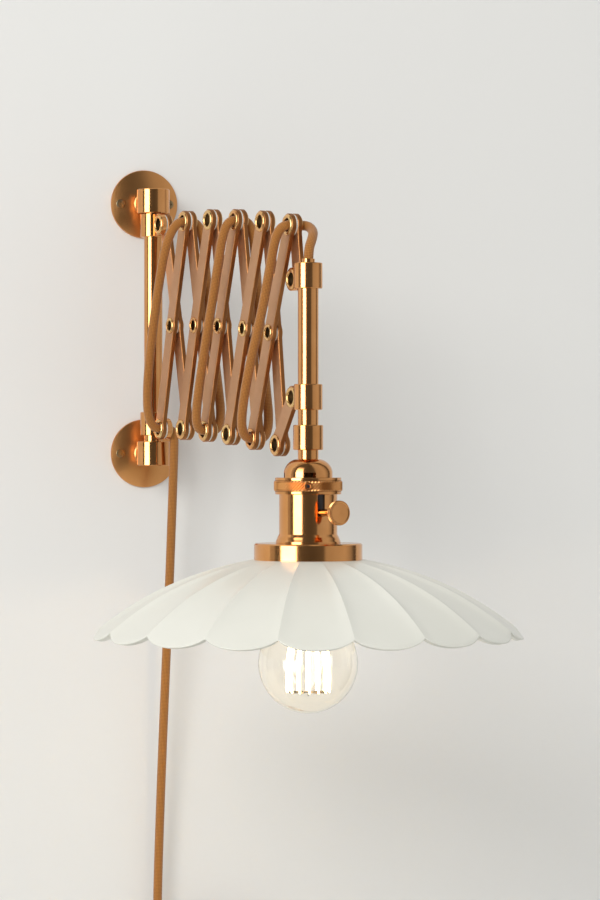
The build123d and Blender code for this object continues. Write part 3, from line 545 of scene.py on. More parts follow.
# a route of (distance along the bar, distance in front of it), in millimetres, as points in space
def alongBar(start, end, route):
    span = hypot(end[0] - start[0], end[1] - start[1])
    out = []
    for along, front in route:
        share = along * mm / span
        reach = start[0] + (end[0] - start[0]) * share
        height = start[1] + (end[1] - start[1]) * share
        out.append(armPoint(reach, height, front * mm))
    return out


barSpan = arm["barLength"] * cos(radians(arm["kink"] / 2)) / mm
barRoutes = {
    1: [(0, 0), (0, 6.6), (4.6, 12.4), (16, 17.2), (44, 20.4), (84, 21.0), (124, 20.2),
        (152, 18.8), (barSpan - 15.5, 16.4), (barSpan - 4.4, 12.0), (barSpan, 6.6), (barSpan, 0)],
    3: [(0, 0), (0, 6.4), (4.4, 11.0), (16, 13.6), (46, 14.3), (88, 13.8), (130, 12.8),
        (barSpan - 17, 12.9), (barSpan - 4.6, 10.6), (barSpan, 6.2), (barSpan, 0)],
    5: [(0, 0), (0, 6.6), (4.4, 12.0), (15, 15.6), (40, 17.0), (72, 16.2), (110, 13.8),
        (146, 13.4), (barSpan - 14.5, 13.6), (barSpan - 4.2, 11.2), (barSpan, 6.4), (barSpan, 0)],
}
rearRoute = [
    (0, 0), (0, -6.4), (4.4, -11.0), (16, -13.2), (52, -12.6), (104, -12.6), (146, -13.6),
    (barSpan - 17, -14.0), (barSpan - 4.6, -11.2), (barSpan, -6.4), (barSpan, 0),
]


# one cord segment between two rivets
def woundCord(name, route, body, *nodes):
    line = smoothLine(name, route)
    obj = tubeAlong(name, line, cord["diameter"] / 2, cordCloth, cord["sides"])
    finishPiece(obj, body, "cord_fabric", *nodes)
    return obj


for i in (1, 3, 5):
    route = alongBar(bottomPivots[i - 1], topPivots[i], barRoutes[i])
    woundCord(f"frontCord{i}", route, f"front_arm_{i}", f"cord_on_front_bar_{i}")
for i in (2, 4):
    route = alongBar(topPivots[i - 1], bottomPivots[i], rearRoute)
    woundCord(f"rearCord{i}", route, f"rear_arm_{i}", f"cord_on_rear_bar_{i}")

# the cord from the last rivet into the post, which on the lamp bends as the head turns on its link; here it is
# one fixed mesh
lastTop = (topPivots[-1][0] / mm, topPivots[-1][1] / mm)
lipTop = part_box("post_upper_collar")[1][2] / mm
entryDepth = 20.0
entryRoute = [
    (lastTop[0], lastTop[1], 0),
    (lastTop[0], lastTop[1], -6.6),
    (lastTop[0] + 4.5, lastTop[1] - 0.6, -12.2),
    (lastTop[0] + 13.5, lastTop[1] - 5.5, -12.0),
    (postReach / mm - 4.5, lastTop[1] - 12.0, -6.0),
    (postReach / mm, lipTop + 7.0, 0),
    (postReach / mm, lipTop - entryDepth / 2, 0),
]
entryLine = smoothLine("entryCord", [armPoint(*(c * mm for c in p)) for p in entryRoute])
entryCord = tubeAlong("entryCord", entryLine, cord["diameter"] / 2, cordCloth, cord["sides"])
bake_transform(entryCord)
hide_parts("cord_to_post")

# the hanging cord and its tied coil, as one tube down to the plug
coil = {
    "entry": (7.8, -17.0, -580.0),
    "outerRadius": 53.0,
    "turnPitch": 8.4,
    "halfTurnsIn": 5,
    "halfTurnsOut": 4,
    "tail": 55.0,
    "pointsPerHalfTurn": 7,
}
hangingPlaces = [
    (14.2, -54.0, -104.0), (14.2, -51.5, -124.0), (14.1, -46.5, -164.0), (13.5, -39.0, -228.0),
    (12.2, -29.5, -310.0), (10.4, -22.3, -395.0), (8.7, -18.4, -470.0), (*coil["entry"][:2], -526.0),
]
hangingRoute = [
    armPoint(*bottomPivots[0]),
    armPoint(*bottomPivots[0], -6.4 * mm),
    armPoint(bottomPivots[0][0], bottomPivots[0][1] - 4.2 * mm, -10.4 * mm),
] + [Vector(p) * mm for p in hangingPlaces]


# control points of the coil: half turns spiral in, climb one layer, and spiral out again
def coilRoute():
    x, y, z = coil["entry"]
    step = coil["turnPitch"] / 2
    near, out = y, y - coil["turnPitch"]
    turns = coil["halfTurnsIn"] + 1 + coil["halfTurnsOut"]
    side, places = 1, []
    for k in range(turns):
        inward = min(k, 2 * coil["halfTurnsIn"] - k)
        radius = coil["outerRadius"] - inward * step
        far = x + side * 2 * radius
        middle = (x + far) / 2
        count = coil["pointsPerHalfTurn"]
        stretch = 1 / cos(pi / (2 * count))
        for j in range(count):
            turn = pi * (j + 0.5) / count
            climb = 0 if k < coil["halfTurnsIn"] else 1
            if k == coil["halfTurnsIn"]:
                climb = (j + 0.5) / count
            depth = near + (out - near) * climb
            places.append((middle - side * radius * stretch * cos(turn), depth,
                           z - side * radius * stretch * sin(turn)))
        x = far
        side = -side
    return [Vector(p) * mm for p in places], (x, out, z)


coilPlaces, coilEnd = coilRoute()
tailEnd = Vector((coilEnd[0], coilEnd[1], coilEnd[2] - coil["tail"])) * mm
looseRoute = hangingRoute + coilPlaces + [tailEnd + up * 0.038, tailEnd]
looseLine = smoothLine("looseCord", looseRoute)
looseCord = tubeAlong("looseCord", looseLine, cord["diameter"] / 2, cordCloth, cord["sides"])
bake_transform(looseCord)
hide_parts("hanging_cord", "cord_coil")
print("cords laid, the loose one", round(lengthOf(looseLine), 3), "m")

# ---- wall brackets: a shallow satin dome, a stub and a polished barrel, with countersunk screws
bracket = {
    "flangeRadius": 30.0 * mm,
    "rim": 2.4 * mm,
    "rimInset": 0.4 * mm,
    "dome": 5.6 * mm,
    "flare": 3.0 * mm,
    "stubRadius": 8.5 * mm,
    "barrelRadius": 14.3 * mm,
    "barrelHeight": 21.0 * mm,
    "boreRadius": 8.06 * mm,
    "endWall": 3.0 * mm,
    "screwSpread": 22.0 * mm,
    "headRadius": 3.9 * mm,
    "headTop": 4.6 * mm,
    "cross": (4.9 * mm, 1.15 * mm),
    "crossDepth": 1.5 * mm,
    "segments": 96,
    "screwSegments": 40,
}


def makeBracket(side, node):
    height = (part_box(node)[0][2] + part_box(node)[1][2]) / 2
    centre, outward = Vector((0, 0, height)), Vector((0, -1, 0))
    ball = (bracket["flangeRadius"] ** 2 + bracket["dome"] ** 2) / (2 * bracket["dome"])
    outline = [(0.0, 0.0), (bracket["flangeRadius"], 0.0), (bracket["flangeRadius"], bracket["rim"] - 0.6 * mm)]
    stub = bracket["stubRadius"]
    start, domeEdge = stub + bracket["flare"], bracket["flangeRadius"] - bracket["rimInset"]
    for k in range(17):
        radius = domeEdge - (domeEdge - start) * k / 16
        outline.append((radius, bracket["rim"] + sqrt(ball ** 2 - radius ** 2) - (ball - bracket["dome"])))
    crest = outline[-1][1]
    for k in range(1, 9):
        turn = pi / 2 * k / 8
        outline.append((start - bracket["flare"] * sin(turn), crest + bracket["flare"] * (1 - cos(turn)) * 1.1))
    outline += [(stub, arm["rodStandOff"] - 6 * mm), (0.0, arm["rodStandOff"] - 6 * mm)]
    flange = turned(node + "Flange", outline, centre, outward, satinCopper, bracket["segments"], merge=True)
    wells, wellFaces, heads, headFaces = [], [], [], []
    head, topFace = bracket["headRadius"], bracket["headTop"]
    for x in (-bracket["screwSpread"], bracket["screwSpread"]):
        place = centre + Vector((x, 0, 0))
        latheInto(wells, wellFaces, [(0.0, -1 * mm), (2.1 * mm, -1 * mm), (2.1 * mm, topFace - 2.2 * mm),
                                     (head + 0.15 * mm, topFace - 0.1 * mm), (head + 0.5 * mm, 20 * mm),
                                     (0.0, 20 * mm)], place, outward, bracket["screwSegments"])
        latheInto(heads, headFaces, [(0.0, 0.3 * mm), (2.0 * mm, 0.3 * mm), (2.0 * mm, topFace - 2.1 * mm),
                                     (head, topFace - 0.25 * mm), (head - 0.35 * mm, topFace + 0.1 * mm),
                                     (head * 0.5, topFace + 0.4 * mm), (0.0, topFace + 0.5 * mm)],
                  place, outward, bracket["screwSegments"])
    carve(flange, addMesh("wells", wells, wellFaces, satinCopper, merge=True))
    finishPiece(flange, "wall_mount", "polished_copper", node)
    screws = addMesh(node + "Screws", heads, headFaces, screwMetal, merge=True)
    for wide, tall in (bracket["cross"], bracket["cross"][::-1]):
        slots, slotFaces = [], []
        for x in (-bracket["screwSpread"], bracket["screwSpread"]):
            middle = centre + Vector((x, 0, 0)) + outward * (topFace + 0.5 * mm)
            boxInto(slots, slotFaces, middle, (wide, bracket["crossDepth"] * 2, tall))
        carve(screws, addMesh("slots", slots, slotFaces, blackPlastic, merge=True))
    finishPiece(screws, "wall_mount", "screw_steel", "wall_screws")
    outer, bore, half = bracket["barrelRadius"], bracket["boreRadius"], bracket["barrelHeight"] / 2
    edge = 0.5 * mm
    barrel = turned(node + "Barrel", [
        (0.0, half), (outer - edge, half), (outer, half - edge), (outer, edge - half), (outer - edge, -half),
        (bore + edge, -half), (bore, edge - half), (bore, half - bracket["endWall"]),
        (0.0, half - bracket["endWall"]),
    ], rodFoot + up * height, up * side, polishedCopper, bracket["segments"], merge=True)
    finishPiece(barrel, "wall_mount", "polished_copper", node)


makeBracket(1, "wall_bracket_upper")
makeBracket(-1, "wall_bracket_lower")
print("brackets made")

# ---- hollow rivets, with a rolled flange each side; end and middle ones as (bore, flange) radii
rivet = {
    "end": (5.3 * mm, 8.5 * mm),
    "middle": (4.2 * mm, 6.9 * mm),
    "seat": 4.6 * mm,
    "roll": 1.25 * mm,
    "shadeLining": 0.08 * mm,
    "segments": 40,
}


# the flange is rolled over as half an oval from the bore to its rim
def rivetProfile(bore, flange):
    seat, wall = rivet["seat"], bore + 0.8 * mm
    middle, half = (bore + flange) / 2, (flange - bore) / 2
    oval = [(middle - half * cos(pi * k / 10), seat + rivet["roll"] * sin(pi * k / 10)) for k in range(11)]
    rear = [(r, -a) for r, a in oval]
    return rear + [(wall, -seat), (wall, seat)] + list(reversed(oval))


def makeRivets(name, body, node, pivots):
    points, faces = [], []
    rings = [(armPoint(*pivot), *rivet[kind]) for pivot, kind in pivots]
    for place, bore, flange in rings:
        latheInto(points, faces, rivetProfile(bore, flange), place, armFront, rivet["segments"])
    bright = len(faces)
    # painted shade: a thin lining just inside each bore, in a darker brass finish, stands in for the shade in the
    # hollow
    for place, bore, flange in rings:
        seat, inner = rivet["seat"], bore - rivet["shadeLining"]
        shadeLining = [(bore, -seat), (inner, -seat), (inner, seat), (bore, seat)]
        latheInto(points, faces, shadeLining, place, armFront, rivet["segments"])
    obj = addMesh(name, points, faces, brassRivets, sharp=60)
    obj.data.materials.append(boreShade)
    for face in obj.data.polygons[bright:]:
        face.material_index = 1
    return finishPiece(obj, body, "brass_rivets", node)


for i in range(1, arm["bars"] + 1):
    trio = ((bottomPivots[i - 1], "end"), (middlePivots[i - 1], "middle"), (topPivots[i], "end"))
    makeRivets(f"frontRivets{i}", f"front_arm_{i}", f"front_bar_{i}_eyelets", trio)
makeRivets("collarRivet", "swing_rod", "upper_collar_eyelet", ((topPivots[0], "end"),))
makeRivets("upperLinkRivet", "upper_link", "upper_link_eyelet", ((upperPostPivot, "end"),))
makeRivets("lowerLinkRivets", "lower_link", "lower_link_eyelets",
           ((bottomPivots[-1], "end"), (lowerPostPivot, "end")))
print("rivets set")


# ---- the lampholder's ring and knob; heights come from the frame
def top(node):
    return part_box(node)[1][2]


def bottom(node):
    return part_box(node)[0][2]


# knurled ring: smooth rims with a band of raised diamonds between them, and a set-screw hole
knurl = {
    "ringRadius": 27.2 * mm,
    "rimRadius": 26.3 * mm,
    "rimHeight": 2.4 * mm,
    "around": 66,
    "rows": 3,
    "perDiamond": 2,
    "depth": 0.75 * mm,
    "holeAzimuth": -106.0,
    "holeRadius": 2.0 * mm,
    "holeRim": 0.55 * mm,
}


def triangleWave(t):
    return abs(2 * (t % 1) - 1)


# a cylindrical band of pyramids; axis is the cylinder's own direction
def knurledBand(name, radius, low, high, around, rows, perDiamond, depth, axis, origin, material, hole=None):
    first, second = sidewaysOf(axis)
    columns, levels = around * perDiamond, rows * perDiamond
    points, faces = [], []
    for j in range(levels + 1):
        along = low + (high - low) * j / levels
        edge = min(1, 2.5 * min(j, levels - j) / perDiamond)
        for k in range(columns):
            a, b = k / perDiamond, j / perDiamond
            rise = min(triangleWave(a + b), triangleWave(a - b))
            r = radius + depth * (rise - 0.5) * edge
            turn = 2 * pi * k / columns
            points.append(origin + (first * cos(turn) + second * sin(turn)) * r + axis * along)
    for j in range(levels):
        for k in range(columns):
            n = (k + 1) % columns
            corners = (j * columns + k, j * columns + n, (j + 1) * columns + n, (j + 1) * columns + k)
            if hole and all((points[c] - hole[0]).length < hole[1] for c in corners):
                continue
            faces.append(corners)
    obj = addMesh(name, points, faces, material, sharp=0)
    obj.data.shade_flat()
    return obj


ringTop, ringBottom = top("knurled_ring"), bottom("knurled_ring")
capRadius = 19.5 * mm
rim, tall = knurl["rimRadius"], knurl["rimHeight"]
ringRims = turned("ringRims", rounded([
    (capRadius, ringTop), (rim, ringTop), (rim, ringTop - tall), (rim - 0.6 * mm, ringTop - tall - 0.4 * mm),
    (rim - 0.6 * mm, ringBottom + tall + 0.4 * mm), (rim, ringBottom + tall), (rim, ringBottom),
    (capRadius, ringBottom),
], 0.6 * mm, 3), postFoot, up, polishedCopper, 120)
finishPiece(ringRims, "head", "polished_copper", "knurled_ring")
holeFacing = Vector((cos(radians(knurl["holeAzimuth"])), sin(radians(knurl["holeAzimuth"])), 0))
holeCentre = postFoot + up * (ringTop + ringBottom) / 2 + holeFacing * knurl["ringRadius"]
ringBand = knurledBand(
    "ringKnurl", knurl["ringRadius"] - knurl["depth"] / 2, ringBottom + knurl["rimHeight"] + 0.2 * mm,
    ringTop - knurl["rimHeight"] - 0.2 * mm, knurl["around"], knurl["rows"], knurl["perDiamond"],
    knurl["depth"], up, postFoot, knurledCopper, (holeCentre, knurl["holeRadius"] + knurl["holeRim"]),
)
finishPiece(ringBand, "head", "polished_copper", "knurled_ring")
hole = knurl["holeRadius"]
bush = hole + knurl["holeRim"] * 2
holeBush = turned("setScrewHole", rounded([
    (hole, 0.25 * mm), (bush, 0.25 * mm), (bush, -1.0 * mm), (hole, -4.0 * mm),
], 0.25 * mm), holeCentre, holeFacing, polishedCopper, 32)
finishPiece(holeBush, "head", "polished_copper", "knurled_ring")
setScrew = turned("setScrew", rounded([
    (nearAxis, -0.9 * mm), (hole + 0.1 * mm, -0.9 * mm), (hole + 0.1 * mm, -4.0 * mm), (nearAxis, -4.0 * mm),
], 0.1 * mm), holeCentre, holeFacing, blackPlastic, 24)
finishPiece(setScrew, "head", "polished_copper", "knurled_ring")

# switch knob: a knurled edge, a raised rim and a set-back face
knob = {
    "azimuth": -70.0,
    "sideStep": 3.8 * mm,
    "reach": 47.8 * mm,
    "thickness": 4.4 * mm,
    "radius": 9.8 * mm,
    "stemRadius": 2.8 * mm,
    "faceRecess": 0.5 * mm,
    "rim": 1.3 * mm,
    "around": 56,
    "rows": 3,
}
knobAxis = Vector((cos(radians(knob["azimuth"])), sin(radians(knob["azimuth"])), 0))
knobSide = Vector((sin(radians(knob["azimuth"])), -cos(radians(knob["azimuth"])), 0))
knobHeight = (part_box("switch_knob")[0][2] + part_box("switch_knob")[1][2]) / 2
knobFoot = postFoot + up * knobHeight + knobSide * knob["sideStep"]
reach, wide, stemWide = knob["reach"], knob["radius"], knob["stemRadius"]
knobBack = reach - knob["thickness"]
knobBody = turned("knobBody", rounded([
    (nearAxis, 10.0 * mm), (stemWide, 10.0 * mm), (stemWide, knobBack - 1.2 * mm),
    (stemWide + 1.4 * mm, knobBack), (wide - 0.25 * mm, knobBack), (wide - 0.25 * mm, reach),
    (wide - knob["rim"], reach), (wide - knob["rim"] - 0.5 * mm, reach - knob["faceRecess"]),
    (nearAxis, reach - knob["faceRecess"]),
], 0.45 * mm, 3), knobFoot, knobAxis, polishedCopper, 72)
finishPiece(knobBody, "knob", "polished_copper", "switch_knob")
knobEdge = knurledBand(
    "knobKnurl", wide - 0.12 * mm, knobBack + 0.5 * mm, reach - 0.5 * mm, knob["around"],
    knob["rows"], 4, 0.4 * mm, knobAxis, knobFoot, knurledCopper,
)
finishPiece(knobEdge, "knob", "polished_copper", "switch_knob")
print("ring and knob made")

# ---- shade: petals that dip between raised creases, with a turned-in lip
shade = {
    "petals": 18,
    "cuspAzimuth": 6.0,
    "radius": 170.5 * mm,
    "flatRadius": 46.0 * mm,
    "wall": 1.2 * mm,
    "drop": 59.0 * mm,
    "kneeReach": 0.52,
    "kneeShare": 0.385,
    "kneeLift": 0.2,
    "cuspInset": 5.5 * mm,
    "cuspLift": 5.0 * mm,
    "ridge": 3.0 * mm,
    "ridgePower": 5,
    "ridgeDip": 0.3,
    "lip": 4.6 * mm,
    "lipInset": 4.2 * mm,
    "rows": 30,
    "perPetal": 12,
    "hole": 20.0 * mm,
}
holderBottom = bottom("shade_holder")
flatBottom = holderBottom - shade["wall"]
rimHeight = flatBottom - shade["drop"]


# points of the circle through three points, from a to c
def arcThrough(a, b, c, count):
    d = 2 * (a.x * (b.y - c.y) + b.x * (c.y - a.y) + c.x * (a.y - b.y))
    aa, bb, cc = a.length_squared, b.length_squared, c.length_squared
    centre = Vector((
        (aa * (b.y - c.y) + bb * (c.y - a.y) + cc * (a.y - b.y)) / d,
        (aa * (c.x - b.x) + bb * (a.x - c.x) + cc * (b.x - a.x)) / d,
    ))
    radius = (a - centre).length
    start, end = atan2(a.y - centre.y, a.x - centre.x), atan2(c.y - centre.y, c.x - centre.x)
    while end - start > pi:
        end -= 2 * pi
    while start - end > pi:
        end += 2 * pi
    out = []
    for k in range(count + 1):
        turn = start + (end - start) * k / count
        out.append(centre + Vector((cos(turn), sin(turn))) * radius)
    return out


# the shade's outer section at one place across a petal: 0 is its middle and 1 its crease
def petalLine(across):
    scallop = across ** 2
    rim = Vector((shade["radius"] - shade["cuspInset"] * scallop, rimHeight + shade["cuspLift"] * scallop))
    crown = Vector((shade["flatRadius"], holderBottom))
    knee = Vector((
        crown.x + (rim.x - crown.x) * shade["kneeReach"],
        crown.y - (crown.y - rim.y) * shade["kneeShare"] + shade["cuspLift"] * scallop * shade["kneeLift"],
    ))
    line = arcThrough(crown, knee, rim, shade["rows"])
    for k, point in enumerate(line):
        share = k / shade["rows"]
        rise = across ** shade["ridgePower"] - shade["ridgeDip"]
        point.y += shade["ridge"] * rise * min(1, share * 1.6) * (1 - 0.25 * share)
    return line


# outer skin from the hole to the rim, round the rim, down the lip and back along the inner skin
def shadeSection(across):
    outer = petalLine(across)
    rim, before = outer[-1], outer[-2]
    run = (rim - before).normalized()
    lipDrop = sqrt(shade["lip"] ** 2 - shade["lipInset"] ** 2)
    bend = [rim + run * 0.4 * mm + Vector((0.1 * mm, -0.4 * mm)), rim + Vector((-0.2 * mm, -1.1 * mm))]
    lipEnd = rim + Vector((-shade["lipInset"], -lipDrop))
    lipMiddle = rim.lerp(lipEnd, 0.5) + Vector((0.5 * mm, 0))
    thin = Vector((-shade["wall"], 0))
    inner = [p + Vector((-0.3 * mm, -shade["wall"])) for p in outer]
    start = Vector((shade["hole"], holderBottom))
    section = [start, start + Vector((10 * mm, 0))] + outer + bend + [lipMiddle, lipEnd]
    section += [lipEnd + thin * 0.8 + Vector((0, 0.2 * mm)), lipMiddle + thin, inner[-1] + Vector((-0.6 * mm, 0))]
    section += list(reversed(inner[:-1])) + [Vector((shade["hole"], flatBottom))]
    return section


points, faces = [], []
columns = shade["petals"] * shade["perPetal"]
for k in range(columns):
    place = (k % shade["perPetal"]) / shade["perPetal"]
    section = shadeSection(abs(2 * place - 1))
    turn = radians(shade["cuspAzimuth"] + 360 * k / columns)
    for point in section:
        points.append(postFoot + Vector((cos(turn) * point.x, sin(turn) * point.x, point.y)))
rowCount = len(section)
for k in range(columns):
    a, b = k * rowCount, ((k + 1) % columns) * rowCount
    for j in range(rowCount):
        n = (j + 1) % rowCount
        faces.append((a + j, b + j, b + n, a + n))
lampShade = addMesh("lampShade", points, faces, enamel, sharp=0)
for edge in lampShade.data.edges:
    a, b = edge.vertices
    onCrease = a // rowCount == b // rowCount and (a // rowCount) % shade["perPetal"] == 0
    if onCrease:
        edge.use_edge_sharp = True
finishPiece(lampShade, "head", "shade_enamel", "lamp_shade")
print("shade made")

# ---- bulb: clear globe, glass stem and a cage of glowing threads, hanging from the CAD model's metal cap
bulb = {
    "radius": 39.7 * mm,
    "wall": 0.6 * mm,
    "drop": 82.0 * mm,
    "neckRadius": 13.5 * mm,
    "threads": 14,
    "cageRadius": 17.0 * mm,
    "threadRadius": 0.75 * mm,
    "threadLow": -299.0 * mm,
    "threadHigh": -263.0 * mm,
    "stemRadius": 4.2 * mm,
    "wireRadius": 0.35 * mm,
    "shoulder": 53,
    "steps": 40,
}
bulbCentre = holderBottom - bulb["drop"]
neckFoot = bottom("bulb_cap")


def bulbOutline(radius, neck):
    out = []
    steps, shoulder = bulb["steps"], bulb["shoulder"]
    for k in range(steps + 1):
        angle = -90 + (shoulder + 90) * k / steps
        out.append((max(radius * cos(radians(angle)), nearAxis), bulbCentre + radius * sin(radians(angle))))
    last = Vector(out[-1])
    leave = Vector((-sin(radians(shoulder)), cos(radians(shoulder))))
    end = Vector((neck, neckFoot))
    reach = (end - last).length * 0.5
    for k in range(1, 13):
        t = k / 12
        a, b = last + leave * reach, end - Vector((0, 1)) * reach * 0.6
        out.append(tuple(
            last * (1 - t) ** 3 + a * 3 * t * (1 - t) ** 2 + b * 3 * t * t * (1 - t) + end * t ** 3
        ))
    return out


outerGlass = bulbOutline(bulb["radius"], bulb["neckRadius"])
innerGlass = bulbOutline(bulb["radius"] - bulb["wall"], bulb["neckRadius"] - bulb["wall"])
globe = turned("bulbGlobe", outerGlass + list(reversed(innerGlass)), postFoot, up, bulbGlassFinish, 72, 60)
globe.visible_shadow = False
finishPiece(globe, "head", "bulb_glass", "bulb_glass")

cage = [Vector((cos(2 * pi * k / bulb["threads"]), sin(2 * pi * k / bulb["threads"]), 0))
        for k in range(bulb["threads"])]
pieces = []
for k, spoke in enumerate(cage):
    high = postFoot + spoke * bulb["cageRadius"] * 0.9 + up * bulb["threadHigh"]
    low = postFoot + spoke * bulb["cageRadius"] + up * bulb["threadLow"]
    thread = [high.lerp(low, j / 10) + spoke * 1.2 * mm * sin(pi * j / 10) for j in range(11)]
    pieces.append(tubeAlong(f"thread{k}", thread, bulb["threadRadius"], filamentGlow, 8))
bm = bmesh.new()
for piece in pieces:
    bm.from_mesh(piece.data)
whole = bpy.data.meshes.new("filament")
bm.to_mesh(whole)
bm.free()
whole.materials.append(filamentGlow)
for piece in pieces:
    bpy.data.objects.remove(piece)
filament = bpy.data.objects.new("filament", whole)
toScene(filament)
finishPiece(filament, "head", "bulb_filament", "bulb_filaments")

stemFoot = bulb["threadHigh"] + 4 * mm
stem = turned("bulbStem", rounded([
    (nearAxis, neckFoot), (bulb["stemRadius"], neckFoot), (bulb["stemRadius"] * 0.7, stemFoot),
    (nearAxis, stemFoot),
], 1.5 * mm), postFoot, up, bulbGlassFinish, 32)
finishPiece(stem, "head", "bulb_glass", "bulb_filaments")

wire = bulb["wireRadius"]
points, faces = [], []
latheInto(points, faces, [(nearAxis, stemFoot), (wire, stemFoot), (wire, bulb["threadLow"] - 3 * mm),
                          (nearAxis, bulb["threadLow"] - 3 * mm)], postFoot, up, 12)
for spoke in cage:
    for height in (bulb["threadHigh"], bulb["threadLow"]):
        reach = bulb["cageRadius"] * (0.9 if height == bulb["threadHigh"] else 1.0)
        latheInto(points, faces, [(nearAxis, 0), (wire, 0), (wire, reach), (nearAxis, reach)],
                  postFoot + up * height, spoke, 8)
supports = addMesh("filamentSupports", points, faces, darkSteel)
finishPiece(supports, "head", "screw_steel", "bulb_filaments")
print("bulb made")

# ---- the plug's sleeve: it tapers up the cord, with grooves that let it bend
sleeve = {
    "length": 30.0 * mm,
    "seat": 5.0 * mm,
    "thick": 6.3 * mm,
    "thin": 4.6 * mm,
    "groove": 0.6 * mm,
    "grooveEvery": 3,
}
sleeveLine, sleeveRadii = [], []
travelled = 0.0
for k in range(len(looseLine) - 1, 0, -1):
    travelled += (looseLine[k] - looseLine[k - 1]).length
    if travelled > sleeve["seat"] + sleeve["length"]:
        break
    if travelled > sleeve["seat"]:
        share = (travelled - sleeve["seat"]) / sleeve["length"]
        cut = sleeve["groove"] if len(sleeveLine) % sleeve["grooveEvery"] == 2 and share < 0.85 else 0
        sleeveLine.append(looseLine[k - 1])
        sleeveRadii.append(sleeve["thick"] + (sleeve["thin"] - sleeve["thick"]) * share - cut)
plugSleeve = tubeAlong("plugSleeve", sleeveLine, sleeveRadii, blackPlastic, 32)
finishPiece(plugSleeve, bodyOfNode["mains_plug"], "black_plastic")

# ---- stage: a pale wall that can be looked through from behind, and a floor
stage = {
    "wallHalfWidth": 1.3,
    "wallLow": -1.3,
    "wallHigh": 1.2,
    "floorDepth": 2.4,
    "wallGap": 0.2 * mm,
}


def stagePlane(name, corners, material):
    obj = addMesh(name, corners, [(0, 1, 2, 3)], material, sharp=0)
    return obj


wallPaint, tree, shader = newMaterial("wallPaint", finish["wall"], 0, 0.85)
bumpFrom(tree, shader, noiseOf(tree, 220, 3), 0.0001, 0.4)
geometry = addNode(tree, "NewGeometry")
rays = addNode(tree, "LightPath")
clear = addNode(tree, "BsdfTransparent")
choose = addNode(tree, "MixShader")
output = tree.nodes["Material Output"]
fromBehind = mathOf(tree, "MULTIPLY", geometry.outputs["Backfacing"], rays.outputs["Is Camera Ray"])
join(fromBehind, choose.inputs[0])
join(shader.outputs[0], choose.inputs[1])
join(clear.outputs[0], choose.inputs[2])
join(choose.outputs[0], output.inputs["Surface"])
w, low, high, gap = stage["wallHalfWidth"], stage["wallLow"], stage["wallHigh"], stage["wallGap"]
stagePlane("wall", [(-w, gap, low), (w, gap, low), (w, gap, high), (-w, gap, high)], wallPaint)
floorPaint, tree, shader = newMaterial("floorPaint", finish["wall"], 0, 0.9)
depth = -stage["floorDepth"]
stagePlane("floor", [(-w, depth, low), (w, depth, low), (w, gap, low), (-w, gap, low)], floorPaint)

# ---- light: a soft key from the upper left, even fill from the room, and a banded room for the metal to mirror
light = {
    "keyPlace": (-1.65, -2.2, 0.95),
    "keyAim": (0.05, -0.1, -0.05),
    "keySize": 1.1,
    "keyWatts": 31,
    "keyColour": (1.0, 0.985, 0.965),
    "bulbWatts": 0.22,
    "bulbColour": (1.0, 0.78, 0.50),
    "bulbSoftness": 15 * mm,
    "fillLow": (0.44, 0.445, 0.445),
    "fillHigh": (0.78, 0.785, 0.785),
    "fillFrom": (-0.75, -0.55, 0.35),
}


def addLight(name, kind, place, watts, colour):
    lamp = bpy.data.lights.new(name, kind)
    lamp.energy = watts
    lamp.color = colour
    obj = bpy.data.objects.new(name, lamp)
    obj.location = place
    obj.visible_glossy = False
    toScene(obj)
    return obj


key = addLight("keyLight", "AREA", light["keyPlace"], light["keyWatts"], light["keyColour"])
key.data.shape = "SQUARE"
key.data.size = light["keySize"]
key.rotation_euler = (Vector(light["keyAim"]) - Vector(light["keyPlace"])).to_track_quat("-Z", "Y").to_euler()
threadCentre = postFoot + up * (bulb["threadLow"] + bulb["threadHigh"]) / 2
inside = addLight("bulbLight", "POINT", threadCentre, light["bulbWatts"], light["bulbColour"])
inside.data.shadow_soft_size = light["bulbSoftness"]
inside.visible_camera = False
inside.visible_transmission = False

# the mirrored room, as (compass angle in degrees, brightness): the camera is at -106
room = [
    (-180, 0.14), (-168, 0.14), (-128, 0.14), (-98, 0.10), (-73, 0.15),
    (-68, 0.52), (-20, 0.66), (-4, 0.42), (8, 0.10), (22, 0.12), (26, 0.50), (178, 0.50), (180, 0.14),
]
roomTint = (1.0, 0.99, 0.97)
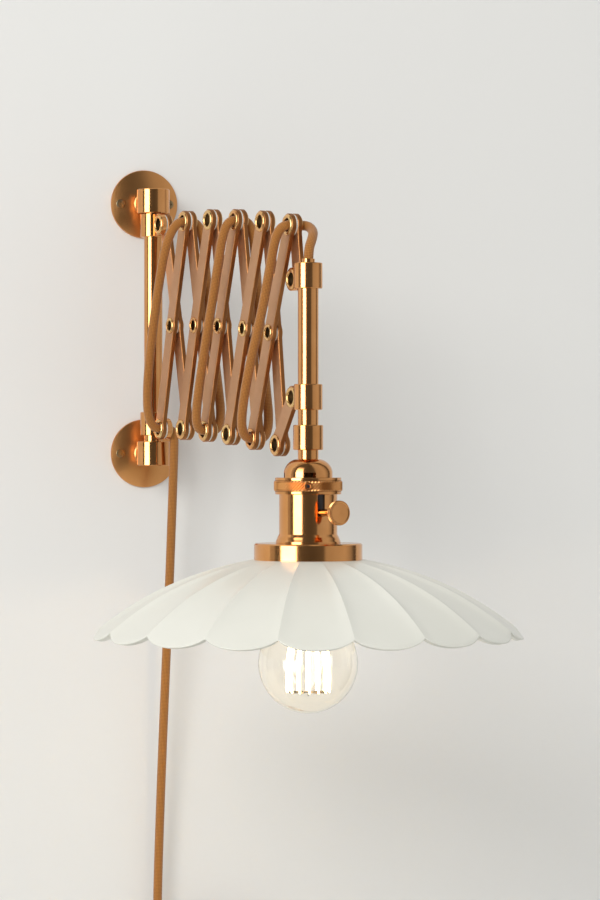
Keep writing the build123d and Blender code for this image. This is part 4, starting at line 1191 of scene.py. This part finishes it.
# an upright strip light that only the metal mirrors, between two compass angles; heights are sines, and it
# fades from foot to low and from high to top
strip = {
    "from": -166.0,
    "to": -131.0,
    "foot": -0.30,
    "low": -0.18,
    "high": 0.25,
    "top": 0.80,
    "brightness": 7.0,
}
world = bpy.data.worlds.new("studio")
world.use_nodes = True
bpy.context.scene.world = world
tree = world.node_tree
fill = tree.nodes["Background"]
coordinates = addNode(tree, "TexCoord")
fillAxis = Vector(light["fillFrom"]).normalized()
toward = addNode(tree, "VectorMath", {1: fillAxis}, operation="DOT_PRODUCT")
fillRamp = rampOf(tree, [(0, light["fillLow"]), (1, light["fillHigh"])])
fillShare = addNode(tree, "MapRange", {"From Min": -1})
join(coordinates.outputs["Generated"], toward.inputs[0])
join(toward.outputs["Value"], fillShare.inputs["Value"])
join(fillShare.outputs["Result"], fillRamp.inputs["Fac"])
join(fillRamp.outputs["Color"], fill.inputs["Color"])
split = addNode(tree, "SeparateXYZ")
share = addNode(tree, "MapRange", {"From Min": -pi, "From Max": pi})
brightest = max(brightness for angle, brightness in room)
ramp = rampOf(tree, [((angle + 180) / 360, [brightness / brightest * c for c in roomTint])
                     for angle, brightness in room])
mirrored = addNode(tree, "Background", {"Strength": brightest})
stripLight = addNode(tree, "Background", {"Color": (*roomTint, 1)})
backdrop = addNode(tree, "Background", {"Color": (*finish["backdrop"], 1)})
rays = addNode(tree, "LightPath")
glossyMix = addNode(tree, "MixShader")
cameraMix = addNode(tree, "MixShader")
output = tree.nodes["World Output"]
join(coordinates.outputs["Generated"], split.inputs["Vector"])
compass = mathOf(tree, "ARCTAN2", split.outputs["Y"], split.outputs["X"])
join(compass, share.inputs["Value"])
join(share.outputs["Result"], ramp.inputs["Fac"])
join(ramp.outputs["Color"], mirrored.inputs["Color"])
join(rays.outputs["Is Glossy Ray"], glossyMix.inputs[0])
join(fill.outputs[0], glossyMix.inputs[1])
stripShare = mathOf(tree, "MULTIPLY", mathOf(tree, "GREATER_THAN", compass, radians(strip["from"])),
                    mathOf(tree, "LESS_THAN", compass, radians(strip["to"])))
for dark, bright in (("foot", "low"), ("top", "high")):
    limits = {"From Min": strip[dark], "From Max": strip[bright]}
    level = addNode(tree, "MapRange", limits, clamp=True)
    join(split.outputs["Z"], level.inputs["Value"])
    stripShare = mathOf(tree, "MULTIPLY", stripShare, level.outputs["Result"])
join(mathOf(tree, "MULTIPLY", stripShare, strip["brightness"]), stripLight.inputs["Strength"])
roomAndStrip = addNode(tree, "AddShader")
join(mirrored.outputs[0], roomAndStrip.inputs[0])
join(stripLight.outputs[0], roomAndStrip.inputs[1])
join(roomAndStrip.outputs[0], glossyMix.inputs[2])
join(rays.outputs["Is Camera Ray"], cameraMix.inputs[0])
join(glossyMix.outputs[0], cameraMix.inputs[1])
join(backdrop.outputs[0], cameraMix.inputs[2])
join(cameraMix.outputs[0], output.inputs["Surface"])
print("lights set")
